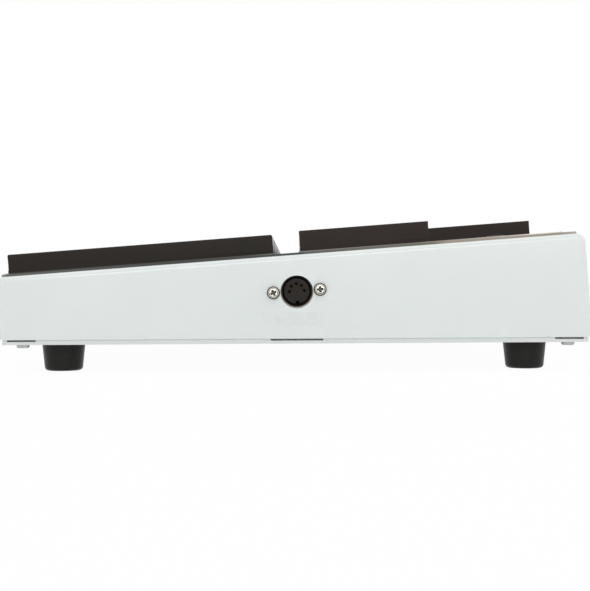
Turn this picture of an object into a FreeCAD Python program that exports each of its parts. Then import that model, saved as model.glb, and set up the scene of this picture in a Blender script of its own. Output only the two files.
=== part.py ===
import FreeCAD, Part
import math
import os
import Sketcher

# A mallet controller: rubber pads in the layout of a vibraphone, on a folded steel case.
# Millimetres. +X is the player's right, +Y is the rear and +Z is up; the feet stand on Z = 0.
# The deck slopes down to the player, so most pieces are drawn in the deck's own frame: its origin
# is the middle of the deck's outer face, X runs across, Y up the slope and Z square to the deck.

SIZES = {
    # Pads: naturals in front, accidentals and one short pad behind them
    "natural_width": 38.0,
    "natural_length": 128.9,
    "natural_thickness": 9.45,
    "accidental_width": 34.5,
    "accidental_length": 124.8,
    "accidental_thickness": 10.05,
    "auxiliary_length": 62.75,
    "auxiliary_thickness": 10.3,
    "pad_gap": 3.0,
    "row_gap": 13.05,
    "front_margin": 4.8,
    "rear_margin": 10.65,
    "end_margin": 11.0,
    "pad_hollow": 0.1,
    "natural_edge_radius": 0.8,
    "accidental_edge_radius": 0.4,
    "pad_seat": 0.4,
    "pad_clearance": 0.3,
    # Case
    "tilt": 4.0,
    "case_height": 39.75,
    "sheet_thickness": 1.2,
    "bend_radius": 4.0,
    "end_edge_radius": 2.4,
    "flange_depth": 17.9,
    "end_flange_depth": 12.0,
    "relief_length": 13.6,
    "relief_gap": 4.0,
    "socket_slot_width": 25.0,
    "fold_height": 1.0,
    "fold_depth": 2.5,
    # Bottom plate, its screws and the feet
    "plate_thickness": 2.4,
    "plate_inset": 1.6,
    "plate_corner_radius": 2.0,
    "plate_slot_depth": 0.95,
    "cover_screw_edge": 10.2,
    "cover_screw_end": 8.5,
    "cover_screw_length": 8.0,
    "cover_screw_head_height": 1.75,
    "foot_height": 13.7,
    "foot_top_radius": 10.6,
    "foot_bottom_radius": 9.2,
    "foot_edge_radius": 2.0,
    "foot_recess_depth": 7.0,
    "foot_recess_radius": 4.6,
    "foot_from_end": 27.0,
    "foot_front_edge": 25.95,
    "foot_rear_edge": 27.45,
    "foot_screw_radius": 2.0,
    "foot_screw_head_radius": 3.9,
    "foot_screw_head_height": 2.6,
    "foot_screw_reach": 3.0,
    # Small pan-head screws
    "screw_radius": 1.45,
    "screw_head_radius": 3.1,
    "screw_head_height": 2.0,
    "cross_length": 3.2,
    "cross_width": 0.9,
    "cross_depth": 1.2,
    "thread_clearance": 0.05,
    "through_clearance": 0.2,
    # Sheet over the deck, and the sensor strips under the pads
    "overlay_thickness": 1.0,
    "overlay_row_rise": 0.5,
    "overlay_row_border": 0.8,
    "overlay_inset": 3.4,
    "overlay_end_inset": 2.4,
    "overlay_corner_radius": 2.0,
    "sensor_thickness": 0.45,
    "sensor_border": 2.0,
    "sensor_clearance": 0.05,
    "tail_width": 20.0,
    "tail_thickness": 0.3,
    "tail_to_standoff": 31.0,
    "tail_spacing": 60.0,
    "tail_row_distance": 3.6,
    "tail_slot_clearance": 0.8,
    # Display and buttons, on the free part of the deck behind the short pad
    "controls_from_end": 32.0,
    "window_width": 31.0,
    "window_length": 16.0,
    "window_edge": 1.8,
    "window_clearance": 0.25,
    "window_to_pad": 8.0,
    "display_width": 30.0,
    "display_length": 18.0,
    "display_gap": 0.4,
    "button_radius": 4.5,
    "button_rise": 1.1,
    "button_edge_radius": 0.5,
    "button_clearance": 0.25,
    "button_rim_width": 1.3,
    "button_rim_height": 1.0,
    "button_rim_gap": 0.2,
    "button_stem_radius": 2.0,
    "button_spacing": 18.0,
    "button_to_window": 18.0,
    "button_travel": 0.6,
    "switch_width": 6.0,
    "switch_height": 3.6,
    "switch_plunger_radius": 1.7,
    "switch_plunger_height": 1.4,
    # Main board, hung under the deck
    "board_gap": 10.0,
    "board_thickness": 1.6,
    "board_width": 215.0,
    "board_from_end": 12.0,
    "board_length": 140.0,
    "board_from_rear": 8.9,
    "board_notch_width": 28.0,
    "notch_beyond_socket": 17.4,
    "standoff_radius": 3.0,
    "standoff_inset": 6.0,
    "standoff_to_notch": 9.0,
    "standoff_to_jack": 1.0,
    "board_screw_length": 8.0,
    "processor_length": 52.0,
    "processor_width": 13.8,
    "processor_from_edge": 52.0,
    "processor_along": 32.0,
    "input_chip_length": 20.0,
    "input_chip_width": 6.4,
    "input_chip_pitch": 30.0,
    "input_chip_from_edge": 15.0,
    "input_chip_along": 62.0,
    "chip_height": 3.4,
    "chip_rise": 0.7,
    "leg_width": 0.5,
    "leg_depth": 0.7,
    "leg_pitch": 2.54,
    "tail_socket_width": 26.0,
    "tail_socket_length": 5.0,
    "tail_socket_height": 5.0,
    "tail_socket_depth": 3.5,
    # Five-pin socket in the right-hand end panel
    "socket_along": 2.57,
    "socket_drop": 17.35,
    "socket_hole_radius": 7.85,
    "socket_hole_drop": 0.4,
    "socket_screw_pitch": 22.2,
    "socket_screw_length": 8.0,
    "socket_flange_length": 29.0,
    "socket_flange_width": 17.5,
    "socket_flange_thickness": 1.0,
    "socket_flange_corner": 2.0,
    "barrel_radius": 8.3,
    "barrel_length": 10.0,
    "insert_radius": 7.4,
    "insert_clearance": 0.1,
    "insert_length": 14.0,
    "insert_inset": 0.2,
    "core_radius": 6.0,
    "core_inset": 0.6,
    "groove_width": 0.9,
    "groove_depth": 8.0,
    "contact_circle_radius": 3.5,
    "contact_radius": 0.85,
    "contact_bore_radius": 0.55,
    "contact_inset": 1.5,
    "contact_tail": 2.0,
    "key_width": 1.8,
    "key_length": 1.3,
    "nut_width": 5.5,
    "nut_thickness": 2.4,
    # Lead from the socket to the board
    "lead_radius": 1.6,
    "lead_first_run": 18.8,
    "lead_step_across": 20.0,
    "lead_step_along": 19.3,
    "lead_last_run": 18.0,
    "lead_plug_length": 12.0,
    "lead_plug_width": 10.0,
    "lead_plug_below": 2.5,
    # Label tape under the socket, level with the floor
    "tape_length": 29.0,
    "tape_width": 5.8,
    "tape_thickness": 0.15,
    "tape_along": -0.9,
    "tape_height": 25.9,
    # Rear wall: pedal jacks, power inlet and power switch in one row under the board
    "jack_from_end": 117.0,
    "jack_spacing": 28.0,
    "jack_body_width": 15.0,
    "jack_body_depth": 24.0,
    "jack_nose_radius": 4.6,
    "jack_nose_length": 4.5,
    "jack_bore_radius": 3.25,
    "jack_bore_depth": 27.0,
    "jack_nut_width": 12.5,
    "jack_nut_thickness": 2.2,
    "inlet_from_end": 79.0,
    "inlet_width": 10.0,
    "inlet_depth": 14.0,
    "inlet_nose_radius": 4.0,
    "inlet_nose_length": 0.8,
    "inlet_bore_radius": 2.8,
    "inlet_bore_depth": 10.0,
    "inlet_pin_radius": 1.0,
    "inlet_pin_inset": 1.0,
    "power_from_end": 47.0,
    "power_width": 19.0,
    "power_height": 13.0,
    "power_depth": 16.0,
    "bezel_border": 1.2,
    "bezel_thickness": 1.5,
    "panel_clearance": 0.15,
    "rocker_radius": 8.2,
    "rocker_height": 10.0,
    "rocker_clearance": 0.35,
    "rocker_angle": 8.0,
    "rocker_rise": 3.0,
    "rocker_depth": 5.0,
    "rocker_pivot_depth": 2.5,
    "rocker_pin_radius": 1.0,
    "rocker_pin_length": 0.9,
}

NATURALS = ["f3", "g3", "a3", "b3", "c4", "d4", "e4", "f4", "g4", "a4", "b4", "c5", "d5", "e5", "f5"]

# Each run of accidentals: the natural that its first pad follows, and the pads' names
ACCIDENTALS = [
    (0, ["f_sharp3", "g_sharp3", "a_sharp3"]),
    (4, ["c_sharp4", "d_sharp4"]),
    (7, ["f_sharp4", "g_sharp4", "a_sharp4"]),
    (11, ["c_sharp5", "d_sharp5"]),
]

COVER_SCREW_COLUMNS = 4
PROCESSOR_LEGS = 20
INPUT_CHIP_LEGS = 7
INPUT_CHIPS = 4
CONTACTS = 5

doc = FreeCAD.newDocument("mallet_controller")
dims = doc.addObject("Spreadsheet::Sheet", "dims")
for row, (alias, size) in enumerate(SIZES.items(), 1):
    dims.set(f"A{row}", alias)
    dims.set(f"B{row}", str(size))
    dims.setAlias(f"B{row}", alias)
doc.recompute()


# Sizes and places that follow from the driving ones, as expressions
PAD_PITCH = "(dims.natural_width + dims.pad_gap)"
CASE_WIDTH = f"({len(NATURALS)} * {PAD_PITCH} - dims.pad_gap + 2 * dims.end_margin)"
RIGHT_END = f"({CASE_WIDTH} / 2)"
CASE_DEPTH = (
    "(dims.front_margin + dims.natural_length + dims.row_gap + dims.accidental_length"
    " + dims.rear_margin)"
)
HALF_DEPTH = f"({CASE_DEPTH} / 2)"
BASE_HALF_DEPTH = f"({HALF_DEPTH} / cos(dims.tilt))"
PLATE_TOP = "(dims.foot_height + dims.plate_thickness)"
NATURAL_FRONT = f"(dims.front_margin - {HALF_DEPTH})"
NATURAL_REAR = f"({NATURAL_FRONT} + dims.natural_length)"
UPPER_FRONT = f"({NATURAL_REAR} + dims.row_gap)"
UPPER_REAR = f"({UPPER_FRONT} + dims.accidental_length)"
AUXILIARY_REAR = f"({UPPER_FRONT} + dims.auxiliary_length)"
FIRST_NATURAL = f"(dims.end_margin + dims.natural_width / 2 - {RIGHT_END})"
LAST_NATURAL = f"({RIGHT_END} - dims.end_margin - dims.natural_width / 2)"
FIRST_ACCIDENTAL = f"({FIRST_NATURAL} + {PAD_PITCH} / 2)"
OVERLAY_HALF_WIDTH = f"({RIGHT_END} - dims.overlay_end_inset)"
OVERLAY_HALF_DEPTH = f"({HALF_DEPTH} - dims.overlay_inset)"
OVERLAY_TOP = "(dims.overlay_thickness + dims.overlay_row_rise)"
POCKET_DEPTH = "(dims.sensor_thickness + dims.sensor_clearance)"
TAIL_MIDDLE = f"({NATURAL_REAR} + dims.row_gap / 2)"
CONTROLS_X = f"({RIGHT_END} - dims.controls_from_end)"
WINDOW_ALONG = f"({AUXILIARY_REAR} + dims.window_to_pad + dims.window_length / 2)"
BUTTONS_ALONG = f"({WINDOW_ALONG} + dims.button_to_window)"
BOARD_TOP = "(-dims.sheet_thickness - dims.board_gap)"
BOARD_UNDER = f"({BOARD_TOP} - dims.board_thickness)"
BOARD_RIGHT = f"({RIGHT_END} - dims.board_from_end)"
BOARD_LEFT = f"({BOARD_RIGHT} - dims.board_width)"
BOARD_REAR = f"({HALF_DEPTH} - dims.board_from_rear)"
BOARD_FRONT = f"({BOARD_REAR} - dims.board_length)"
STANDOFF_X = f"({BOARD_LEFT} + dims.standoff_inset)"
STANDOFF_Y = f"({BOARD_FRONT} + dims.standoff_inset)"
STANDOFFS_ACROSS = (
    "(dims.board_width - dims.board_notch_width - 2 * dims.standoff_inset - dims.standoff_to_notch)"
)
STANDOFFS_ALONG = (
    "(dims.board_length - dims.jack_body_depth - 2 * dims.standoff_inset - dims.standoff_to_jack)"
)
TAIL_X = f"({STANDOFF_X} + dims.tail_to_standoff + dims.tail_spacing)"
REAR_ROW_Z = f"({BOARD_UNDER} - dims.jack_body_width / 2)"
JACK_X = f"({RIGHT_END} - dims.jack_from_end)"
INLET_X = f"({RIGHT_END} - dims.inlet_from_end)"
POWER_X = f"({RIGHT_END} - dims.power_from_end)"
THREAD_RADIUS = "(dims.screw_radius + dims.thread_clearance)"
THROUGH_RADIUS = "(dims.screw_radius + dims.through_clearance)"
FOOT_THREAD_RADIUS = "(dims.foot_screw_radius + dims.thread_clearance)"
FOOT_X = f"({RIGHT_END} - dims.foot_from_end)"
FOOT_FRONT = f"(dims.foot_front_edge - {BASE_HALF_DEPTH})"
FOOT_REAR = f"({BASE_HALF_DEPTH} - dims.foot_rear_edge)"
COVER_SCREW_X = f"({RIGHT_END} - dims.cover_screw_end)"
COVER_SCREW_Y = f"({BASE_HALF_DEPTH} - dims.cover_screw_edge)"
COVER_SCREW_PITCH = f"(2 * {COVER_SCREW_X} / {COVER_SCREW_COLUMNS - 1})"
RELIEF_Y = f"({BASE_HALF_DEPTH} - dims.flange_depth + dims.relief_length / 2)"
SOCKET_WORLD_Y = (
    "(dims.socket_along * cos(dims.tilt) + (dims.socket_drop - dims.case_height) * sin(dims.tilt))"
)


def value(expression):
    """The number that an expression of the sheet's sizes gives."""
    return float(dims.evalExpression(expression))


def origin_feature(body, role):
    """One of a body's own origin planes or axes."""
    for feature in body.Origin.OriginFeatures:
        if feature.Role == role:
            return feature


def floor_piece(name):
    """A sub-part drawn in the frame of the floor."""
    body = doc.addObject("PartDesign::Body", name)
    body.Label = name
    body.Placement = FreeCAD.Placement()
    return body


def deck_placement(piece, across, along, up):
    """Tilt a piece with the deck and put its origin at a point of the deck's frame."""
    piece.Placement = FreeCAD.Placement(
        FreeCAD.Vector(), FreeCAD.Rotation(FreeCAD.Vector(1, 0, 0), value("dims.tilt"))
    )
    rise = f"(({up}) + dims.case_height)"
    piece.setExpression(".Placement.Base.x", across)
    piece.setExpression(".Placement.Base.y", f"({along}) * cos(dims.tilt) - {rise} * sin(dims.tilt)")
    piece.setExpression(
        ".Placement.Base.z", f"{PLATE_TOP} + ({along}) * sin(dims.tilt) + {rise} * cos(dims.tilt)"
    )
    piece.setExpression(".Placement.Rotation.Angle", "dims.tilt")


def deck_piece(name, across="0", along="0", up="0"):
    """A sub-part drawn in the deck's frame, with its origin at the point given there."""
    body = doc.addObject("PartDesign::Body", name)
    body.Label = name
    deck_placement(body, across, along, up)
    return body


# Planes square to each axis; the one square to Y faces the front, which turns its sign
SQUARE_TO = {"X": ("YZ_Plane", 1), "Y": ("XZ_Plane", -1), "Z": ("XY_Plane", 1)}


def section(body, name, axis, at="0"):
    """A sketch square to an axis of the body, at a place along that axis."""
    role, sign = SQUARE_TO[axis]
    sketch = body.newObject("Sketcher::SketchObject", f"{body.Name}_{name}")
    sketch.AttachmentSupport = (origin_feature(body, role), [""])
    sketch.MapMode = "FlatFace"
    sketch.setExpression(".AttachmentOffset.Base.z", at if sign > 0 else f"-({at})")
    return sketch


def base_section(body, name):
    """A sketch on the level plane of the case's open bottom, in a body of the deck's frame."""
    sketch = body.newObject("Sketcher::SketchObject", f"{body.Name}_{name}")
    sketch.AttachmentSupport = (origin_feature(body, "XY_Plane"), [""])
    sketch.MapMode = "FlatFace"
    level = FreeCAD.Rotation(FreeCAD.Vector(-1, 0, 0), value("dims.tilt"))
    sketch.AttachmentOffset = FreeCAD.Placement(FreeCAD.Vector(), level)
    sketch.setExpression(".AttachmentOffset.Base.z", "-dims.case_height")
    sketch.setExpression(".AttachmentOffset.Rotation.Angle", "dims.tilt")
    return sketch


def fix_point(sketch, geometry, end, x, y):
    """Hold a point of the sketch at two expressions."""
    for kind, expression in (("DistanceX", x), ("DistanceY", y)):
        index = sketch.addConstraint(
            Sketcher.Constraint(kind, -1, 1, geometry, end, value(expression))
        )
        sketch.setExpression(f"Constraints[{index}]", expression)


def polygon(sketch, corners):
    """A closed outline of straight lines through corners given as pairs of expressions."""
    points = [FreeCAD.Vector(value(x), value(y), 0) for x, y in corners]
    lines = []
    for start, end in zip(points, points[1:] + points[:1]):
        lines.append(sketch.addGeometry(Part.LineSegment(start, end), False))
    for line, following in zip(lines, lines[1:] + lines[:1]):
        sketch.addConstraint(Sketcher.Constraint("Coincident", line, 2, following, 1))
    for line, (x, y) in zip(lines, corners):
        fix_point(sketch, line, 1, x, y)


def rectangle(sketch, x, y, width, height):
    """A rectangle about its middle."""
    left = f"{x} - {width} / 2"
    right = f"{x} + {width} / 2"
    low = f"{y} - {height} / 2"
    high = f"{y} + {height} / 2"
    polygon(sketch, [(left, low), (right, low), (right, high), (left, high)])


def circle(sketch, x, y, radius):
    """A circle about a point."""
    centre = FreeCAD.Vector(value(x), value(y), 0)
    ring = sketch.addGeometry(Part.Circle(centre, FreeCAD.Vector(0, 0, 1), value(radius)), False)
    index = sketch.addConstraint(Sketcher.Constraint("Radius", ring, value(radius)))
    sketch.setExpression(f"Constraints[{index}]", radius)
    fix_point(sketch, ring, 3, x, y)


def arc(sketch, start, end, sagitta):
    """An arc between two numeric points that bows to the left of the way it runs."""
    middle = (start + end) * 0.5
    run = end - start
    left = FreeCAD.Vector(-run.y, run.x, 0).normalize()
    return sketch.addGeometry(Part.Arc(start, middle + left * sagitta, end), False)


def faces_down(sketch):
    """Whether the sketch's normal runs against its axis, as on the plane square to Y."""
    return sketch.AttachmentSupport[0][0].Role == "XZ_Plane"


cuts = []


def extrude(body, sketch, name, length, towards=1):
    """Add material from a sketch, towards +1 or -1 along its axis, or 0 to both sides alike."""
    feature = body.newObject("PartDesign::Pad", f"{body.Name}_{name}")
    feature.Profile = sketch
    feature.setExpression("Length", length)
    if towards == 0:
        feature.SideType = "Symmetric"
    else:
        feature.Reversed = (towards < 0) != faces_down(sketch)
    body.Tip = feature
    return feature


def cut(body, sketch, name, length, towards=-1):
    """Take material away from a sketch, towards +1 or -1 along its axis, or 0 to both sides."""
    feature = body.newObject("PartDesign::Pocket", f"{body.Name}_{name}")
    feature.Profile = sketch
    feature.setExpression("Length", length)
    if towards == 0:
        feature.SideType = "Symmetric"
    else:
        feature.Reversed = (towards > 0) != faces_down(sketch)
    body.Tip = feature
    cuts.append(feature)
    return feature


def block(body, name, x, y, width, length, bottom, height):
    """A plain block: a rectangle about (x, y), raised from its bottom by its height."""
    sketch = section(body, f"{name}_outline", "Z", bottom)
    rectangle(sketch, x, y, width, length)
    return extrude(body, sketch, name, height)


def turn(body, name, axis, profile):
    """Turn a profile, given as (place along the axis, radius) pairs, about an axis of the body."""
    role = {"X": "XY_Plane", "Y": "YZ_Plane", "Z": "XZ_Plane"}[axis]
    sketch = body.newObject("Sketcher::SketchObject", f"{body.Name}_{name}_profile")
    sketch.AttachmentSupport = (origin_feature(body, role), [""])
    sketch.MapMode = "FlatFace"
    polygon(sketch, [(radius, place) if axis == "Z" else (place, radius) for place, radius in profile])
    feature = body.newObject("PartDesign::Revolution", f"{body.Name}_{name}")
    feature.Profile = sketch
    feature.ReferenceAxis = (sketch, ["V_Axis" if axis == "Z" else "H_Axis"])
    feature.Angle = 360
    body.Tip = feature
    return feature


def repeat(body, name, feature, axis, pitch, count, second=None):
    """Repeat a feature along an axis, and along a second one given as (axis, pitch, count)."""
    pattern = body.newObject("PartDesign::LinearPattern", f"{body.Name}_{name}")
    pattern.Originals = [feature]
    pattern.Direction = (origin_feature(body, f"{axis}_Axis"), [""])
    pattern.setExpression("Length", f"{pitch} * {count - 1}")
    pattern.Occurrences = count
    if second:
        second_axis, second_pitch, second_count = second
        pattern.Direction2 = (origin_feature(body, f"{second_axis}_Axis"), [""])
        pattern.setExpression("Length2", f"{second_pitch} * {second_count - 1}")
        pattern.Occurrences2 = second_count
    body.Tip = pattern
    return pattern


def repeat_piece(body, name, axis, pitch, count, second=None):
    """Repeat the whole piece, as when equal pieces share one node."""
    pattern = repeat(body, name, body.Tip, axis, pitch, count, second)
    pattern.TransformMode = "Whole shape"
    return pattern


def round_edges(body, name, radius, wanted):
    """Round the edges of the body's last feature that a test picks out."""
    doc.recompute()
    base = body.Tip
    picked = [f"Edge{i}" for i, edge in enumerate(base.Shape.Edges, 1) if wanted(edge)]
    feature = body.newObject("PartDesign::Fillet", f"{body.Name}_{name}")
    feature.Base = (base, picked)
    feature.setExpression("Radius", radius)
    body.Tip = feature
    return feature


def near(a, b):
    """Whether two lengths are the same place."""
    return abs(a - b) < 0.001


def runs_along(edge, axis):
    """Whether an edge is straight and parallel to an axis of its body."""
    if edge.Curve.TypeId != "Part::GeomLine":
        return False
    direction = edge.Vertexes[1].Point - edge.Vertexes[0].Point
    return near(abs(direction[axis]), direction.Length)


ACROSS, ALONG, UP = range(3)


def cross_recess(body, axis, face, towards):
    """The cross that a screwdriver fits, cut into a screw's head."""
    sketch = section(body, "cross", axis, face)
    reach = "dims.cross_length / 2"
    half = "dims.cross_width / 2"
    corners = [
        (half, half), (half, reach), (f"-{half}", reach), (f"-{half}", half),
        (f"-{reach}", half), (f"-{reach}", f"-{half}"), (f"-{half}", f"-{half}"),
        (f"-{half}", f"-{reach}"), (half, f"-{reach}"), (half, f"-{half}"),
        (reach, f"-{half}"), (reach, half),
    ]
    polygon(sketch, corners)
    cut(body, sketch, "cross_recess", "dims.cross_depth", towards)


def pan_screw(body, axis, head_side, radius, head_radius, head_height, length):
    """A pan-head screw from its seat at the body's origin; its head lies on the side given."""
    sign = "" if head_side > 0 else "-"
    other = "-" if head_side > 0 else ""
    turn(body, "screw", axis, [
        (f"{other}({length})", "0"),
        (f"{other}({length})", radius),
        ("0", radius),
        ("0", head_radius),
        (f"{sign}{head_height} * 0.55", head_radius),
        (f"{sign}{head_height} * 0.85", f"{head_radius} * 0.86"),
        (f"{sign}{head_height}", f"{head_radius} * 0.6"),
        (f"{sign}{head_height}", "0"),
    ])
    cross_recess(body, axis, f"{sign}{head_height}", -head_side)


def hexagon(sketch, x, y, width):
    """A hexagon of a given width between flats, with flats to the sketch's left and right."""
    reach = f"{width} / sqrt(3)"
    half = f"{width} / 2"
    short = f"{width} / sqrt(12)"
    polygon(sketch, [
        (f"{x} + {half}", f"{y} - {short}"), (f"{x} + {half}", f"{y} + {short}"),
        (f"{x}", f"{y} + {reach}"), (f"{x} - {half}", f"{y} + {short}"),
        (f"{x} - {half}", f"{y} - {short}"), (f"{x}", f"{y} - {reach}"),
    ])


# Pads

def playing_pad(name, across, front, width, length, thickness, edge_radius):
    """A rubber pad that sits a little way into the overlay; its cut ends are slightly hollow."""
    body = deck_piece(name, across, front, f"{OVERLAY_TOP} - dims.pad_seat")
    height = f"({thickness} + dims.pad_seat)"
    sketch = section(body, "side", "X")
    low_front = FreeCAD.Vector(0, 0, 0)
    low_rear = FreeCAD.Vector(value(length), 0, 0)
    high_rear = FreeCAD.Vector(value(length), value(height), 0)
    high_front = FreeCAD.Vector(0, value(height), 0)
    hollow = value("dims.pad_hollow")
    sides = [
        sketch.addGeometry(Part.LineSegment(low_front, low_rear), False),
        arc(sketch, low_rear, high_rear, hollow),
        sketch.addGeometry(Part.LineSegment(high_rear, high_front), False),
        arc(sketch, high_front, low_front, hollow),
    ]
    base, rear, top, face = sides
    # Part.Arc runs anticlockwise, so a hollow end's arc starts at the far end of the run
    sketch.addConstraint(Sketcher.Constraint("Coincident", base, 2, rear, 2))
    sketch.addConstraint(Sketcher.Constraint("Coincident", rear, 1, top, 1))
    sketch.addConstraint(Sketcher.Constraint("Coincident", top, 2, face, 2))
    sketch.addConstraint(Sketcher.Constraint("Coincident", face, 1, base, 1))
    fix_point(sketch, base, 1, "0", "0")
    fix_point(sketch, base, 2, length, "0")
    fix_point(sketch, top, 1, length, height)
    fix_point(sketch, top, 2, "0", height)
    bow = f"(({height}) ^ 2 / 4 + dims.pad_hollow ^ 2) / (2 * dims.pad_hollow)"
    for end in (rear, face):
        index = sketch.addConstraint(Sketcher.Constraint("Radius", end, value(bow)))
        sketch.setExpression(f"Constraints[{index}]", bow)
    extrude(body, sketch, "rubber", width, 0)
    top_height = value(height)
    half_width = value(width) / 2
    round_edges(body, "edges", edge_radius, lambda edge: (
        near(edge.BoundBox.ZMin, top_height)
        or (near(abs(edge.BoundBox.XMin), half_width) and near(edge.BoundBox.XLength, 0)
            and near(edge.BoundBox.ZLength, top_height))
    ))
    return body


def pads():
    """Every pad, from the player's left to right."""
    for i, note in enumerate(NATURALS):
        playing_pad(
            f"pad_{note}", f"{FIRST_NATURAL} + {i} * {PAD_PITCH}", NATURAL_FRONT,
            "dims.natural_width", "dims.natural_length", "dims.natural_thickness",
            "dims.natural_edge_radius",
        )
    for first, notes in ACCIDENTALS:
        for i, note in enumerate(notes):
            playing_pad(
                f"pad_{note}", f"{FIRST_ACCIDENTAL} + {first + i} * {PAD_PITCH}", UPPER_FRONT,
                "dims.accidental_width", "dims.accidental_length", "dims.accidental_thickness",
                "dims.accidental_edge_radius",
            )
    playing_pad(
        "pad_auxiliary", LAST_NATURAL, UPPER_FRONT,
        "dims.natural_width", "dims.auxiliary_length", "dims.auxiliary_thickness",
        "dims.accidental_edge_radius",
    )


# Case

def below_deck(along):
    """How far below the deck the case's level bottom edge lies, at a place along the deck."""
    return f"-(dims.case_height + ({along}) * tan(dims.tilt))"


def case_side(sketch, inset):
    """The case's side outline, moved inwards by a wall; its bottom edge stays where it is."""
    half = f"({HALF_DEPTH} - {inset})"
    bend = f"(dims.bend_radius - {inset})"
    corners = [
        (f"-{half}", below_deck(f"-{half}")),
        (half, below_deck(half)),
        (half, f"-{inset} - {bend}"),
        (f"{half} - {bend}", f"-{inset}"),
        (f"-{half} + {bend}", f"-{inset}"),
        (f"-{half}", f"-{inset} - {bend}"),
    ]
    points = [FreeCAD.Vector(value(x), value(y), 0) for x, y in corners]
    bow = value(bend) * (1 - math.sqrt(0.5))
    base = sketch.addGeometry(Part.LineSegment(points[0], points[1]), False)
    rear = sketch.addGeometry(Part.LineSegment(points[1], points[2]), False)
    rear_bend = arc(sketch, points[2], points[3], -bow)
    top = sketch.addGeometry(Part.LineSegment(points[3], points[4]), False)
    front_bend = arc(sketch, points[4], points[5], -bow)
    front = sketch.addGeometry(Part.LineSegment(points[5], points[0]), False)
    sides = [base, rear, rear_bend, top, front_bend, front]
    for side, following in zip(sides, sides[1:] + sides[:1]):
        sketch.addConstraint(Sketcher.Constraint("Coincident", side, 2, following, 1))
    for side, (x, y) in zip(sides, corners):
        fix_point(sketch, side, 1, x, y)
    for side in (rear_bend, front_bend):
        index = sketch.addConstraint(Sketcher.Constraint("Radius", side, value(bend)))
        sketch.setExpression(f"Constraints[{index}]", bend)


def top_cover():
    """Deck, front and rear walls and both end panels, with flanges turned in at the bottom."""
    body = deck_piece("top_cover")
    sheet = "dims.sheet_thickness"
    outside = section(body, "outside", "X")
    case_side(outside, "0 * dims.sheet_thickness")
    extrude(body, outside, "shell", CASE_WIDTH, 0)
    end = value(RIGHT_END)
    base = -value("dims.case_height")
    slope = math.tan(math.radians(value("dims.tilt")))

    def on_base(edge):
        return all(near(v.Z, base - v.Y * slope) for v in edge.Vertexes)

    round_edges(body, "end_edges", "dims.end_edge_radius", lambda edge: (
        near(edge.BoundBox.XLength, 0) and near(abs(edge.BoundBox.XMin), end)
        and not on_base(edge)
    ))
    inside = section(body, "inside", "X")
    case_side(inside, sheet)
    cut(body, inside, "hollow", f"{CASE_WIDTH} - 2 * {sheet}", 0)
    base_flanges(body)
    end_panel_holes(body)
    rear_wall_holes(body)
    deck_openings(body)
    return body


def base_flanges(body):
    """The flanges that the bottom plate is screwed to, their folds, and the gaps between them."""
    sheet = "dims.sheet_thickness"
    inner_end = f"({RIGHT_END} - {sheet})"
    frame = base_section(body, "flange_outline")
    rectangle(
        frame, "0", "0", f"(2 * {RIGHT_END} - {sheet})", f"(2 * {BASE_HALF_DEPTH} - {sheet})"
    )
    rectangle(
        frame, "0", "0", f"(2 * ({inner_end} - dims.end_flange_depth))",
        f"(2 * ({BASE_HALF_DEPTH} - dims.flange_depth))",
    )
    extrude(body, frame, "flanges", sheet)
    folds = section(body, "fold_outline", "X")
    for side, turned in (("-", "+"), ("", "-")):
        edge = f"{side}{HALF_DEPTH}"
        inner = f"({edge} {turned} dims.fold_depth)"
        polygon(folds, [
            (edge, below_deck(edge)), (inner, below_deck(inner)),
            (edge, f"{below_deck(edge)} + dims.fold_height"),
        ])
    cut(body, folds, "folds", CASE_WIDTH, 0)
    reliefs = base_section(body, "relief_outline")
    for side in ("-", ""):
        for row in ("-", ""):
            rectangle(
                reliefs, f"{side}({inner_end} - dims.relief_gap / 2)", f"{row}{RELIEF_Y}",
                "dims.relief_gap", "dims.relief_length",
            )
    cut(body, reliefs, "reliefs", sheet, 1)
    gap = base_section(body, "flange_gap_outline")
    rectangle(
        gap, f"({inner_end} - dims.end_flange_depth / 2 - {sheet})", SOCKET_WORLD_Y,
        f"(dims.end_flange_depth + 2 * {sheet})", "dims.socket_slot_width",
    )
    cut(body, gap, "flange_gap", sheet, 1)
    screws = base_section(body, "screw_outline")
    for column in range(COVER_SCREW_COLUMNS):
        for row in ("-", ""):
            circle(
                screws, f"{column} * {COVER_SCREW_PITCH} - {COVER_SCREW_X}", f"{row}{COVER_SCREW_Y}",
                THREAD_RADIUS,
            )
    cut(body, screws, "screw_threads", f"2 * {sheet}", 1)


def end_panel_holes(body):
    """The hole for the five-pin socket, and those of its two screws."""
    sketch = section(body, "socket_holes", "X", RIGHT_END)
    circle(
        sketch, "dims.socket_along", "-dims.socket_drop - dims.socket_hole_drop",
        "dims.socket_hole_radius",
    )
    for side in ("-", "+"):
        circle(
            sketch, f"dims.socket_along {side} dims.socket_screw_pitch / 2", "-dims.socket_drop",
            THROUGH_RADIUS,
        )
    cut(body, sketch, "socket_cut", "2 * dims.sheet_thickness", -1)


def rear_wall_holes(body):
    """Openings for the pedal jacks, the power inlet and the power switch."""
    sketch = section(body, "rear_holes", "Y", f"{HALF_DEPTH} - 2 * dims.sheet_thickness")
    for i in range(2):
        circle(
            sketch, f"{JACK_X} - {i} * dims.jack_spacing", REAR_ROW_Z,
            "dims.jack_nose_radius + dims.panel_clearance",
        )
    circle(sketch, INLET_X, REAR_ROW_Z, "dims.inlet_nose_radius + dims.panel_clearance")
    rectangle(
        sketch, POWER_X, REAR_ROW_Z, "(dims.power_width + 2 * dims.panel_clearance)",
        "(dims.power_height + 2 * dims.panel_clearance)",
    )
    cut(body, sketch, "rear_cut", "3 * dims.sheet_thickness", 1)


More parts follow.
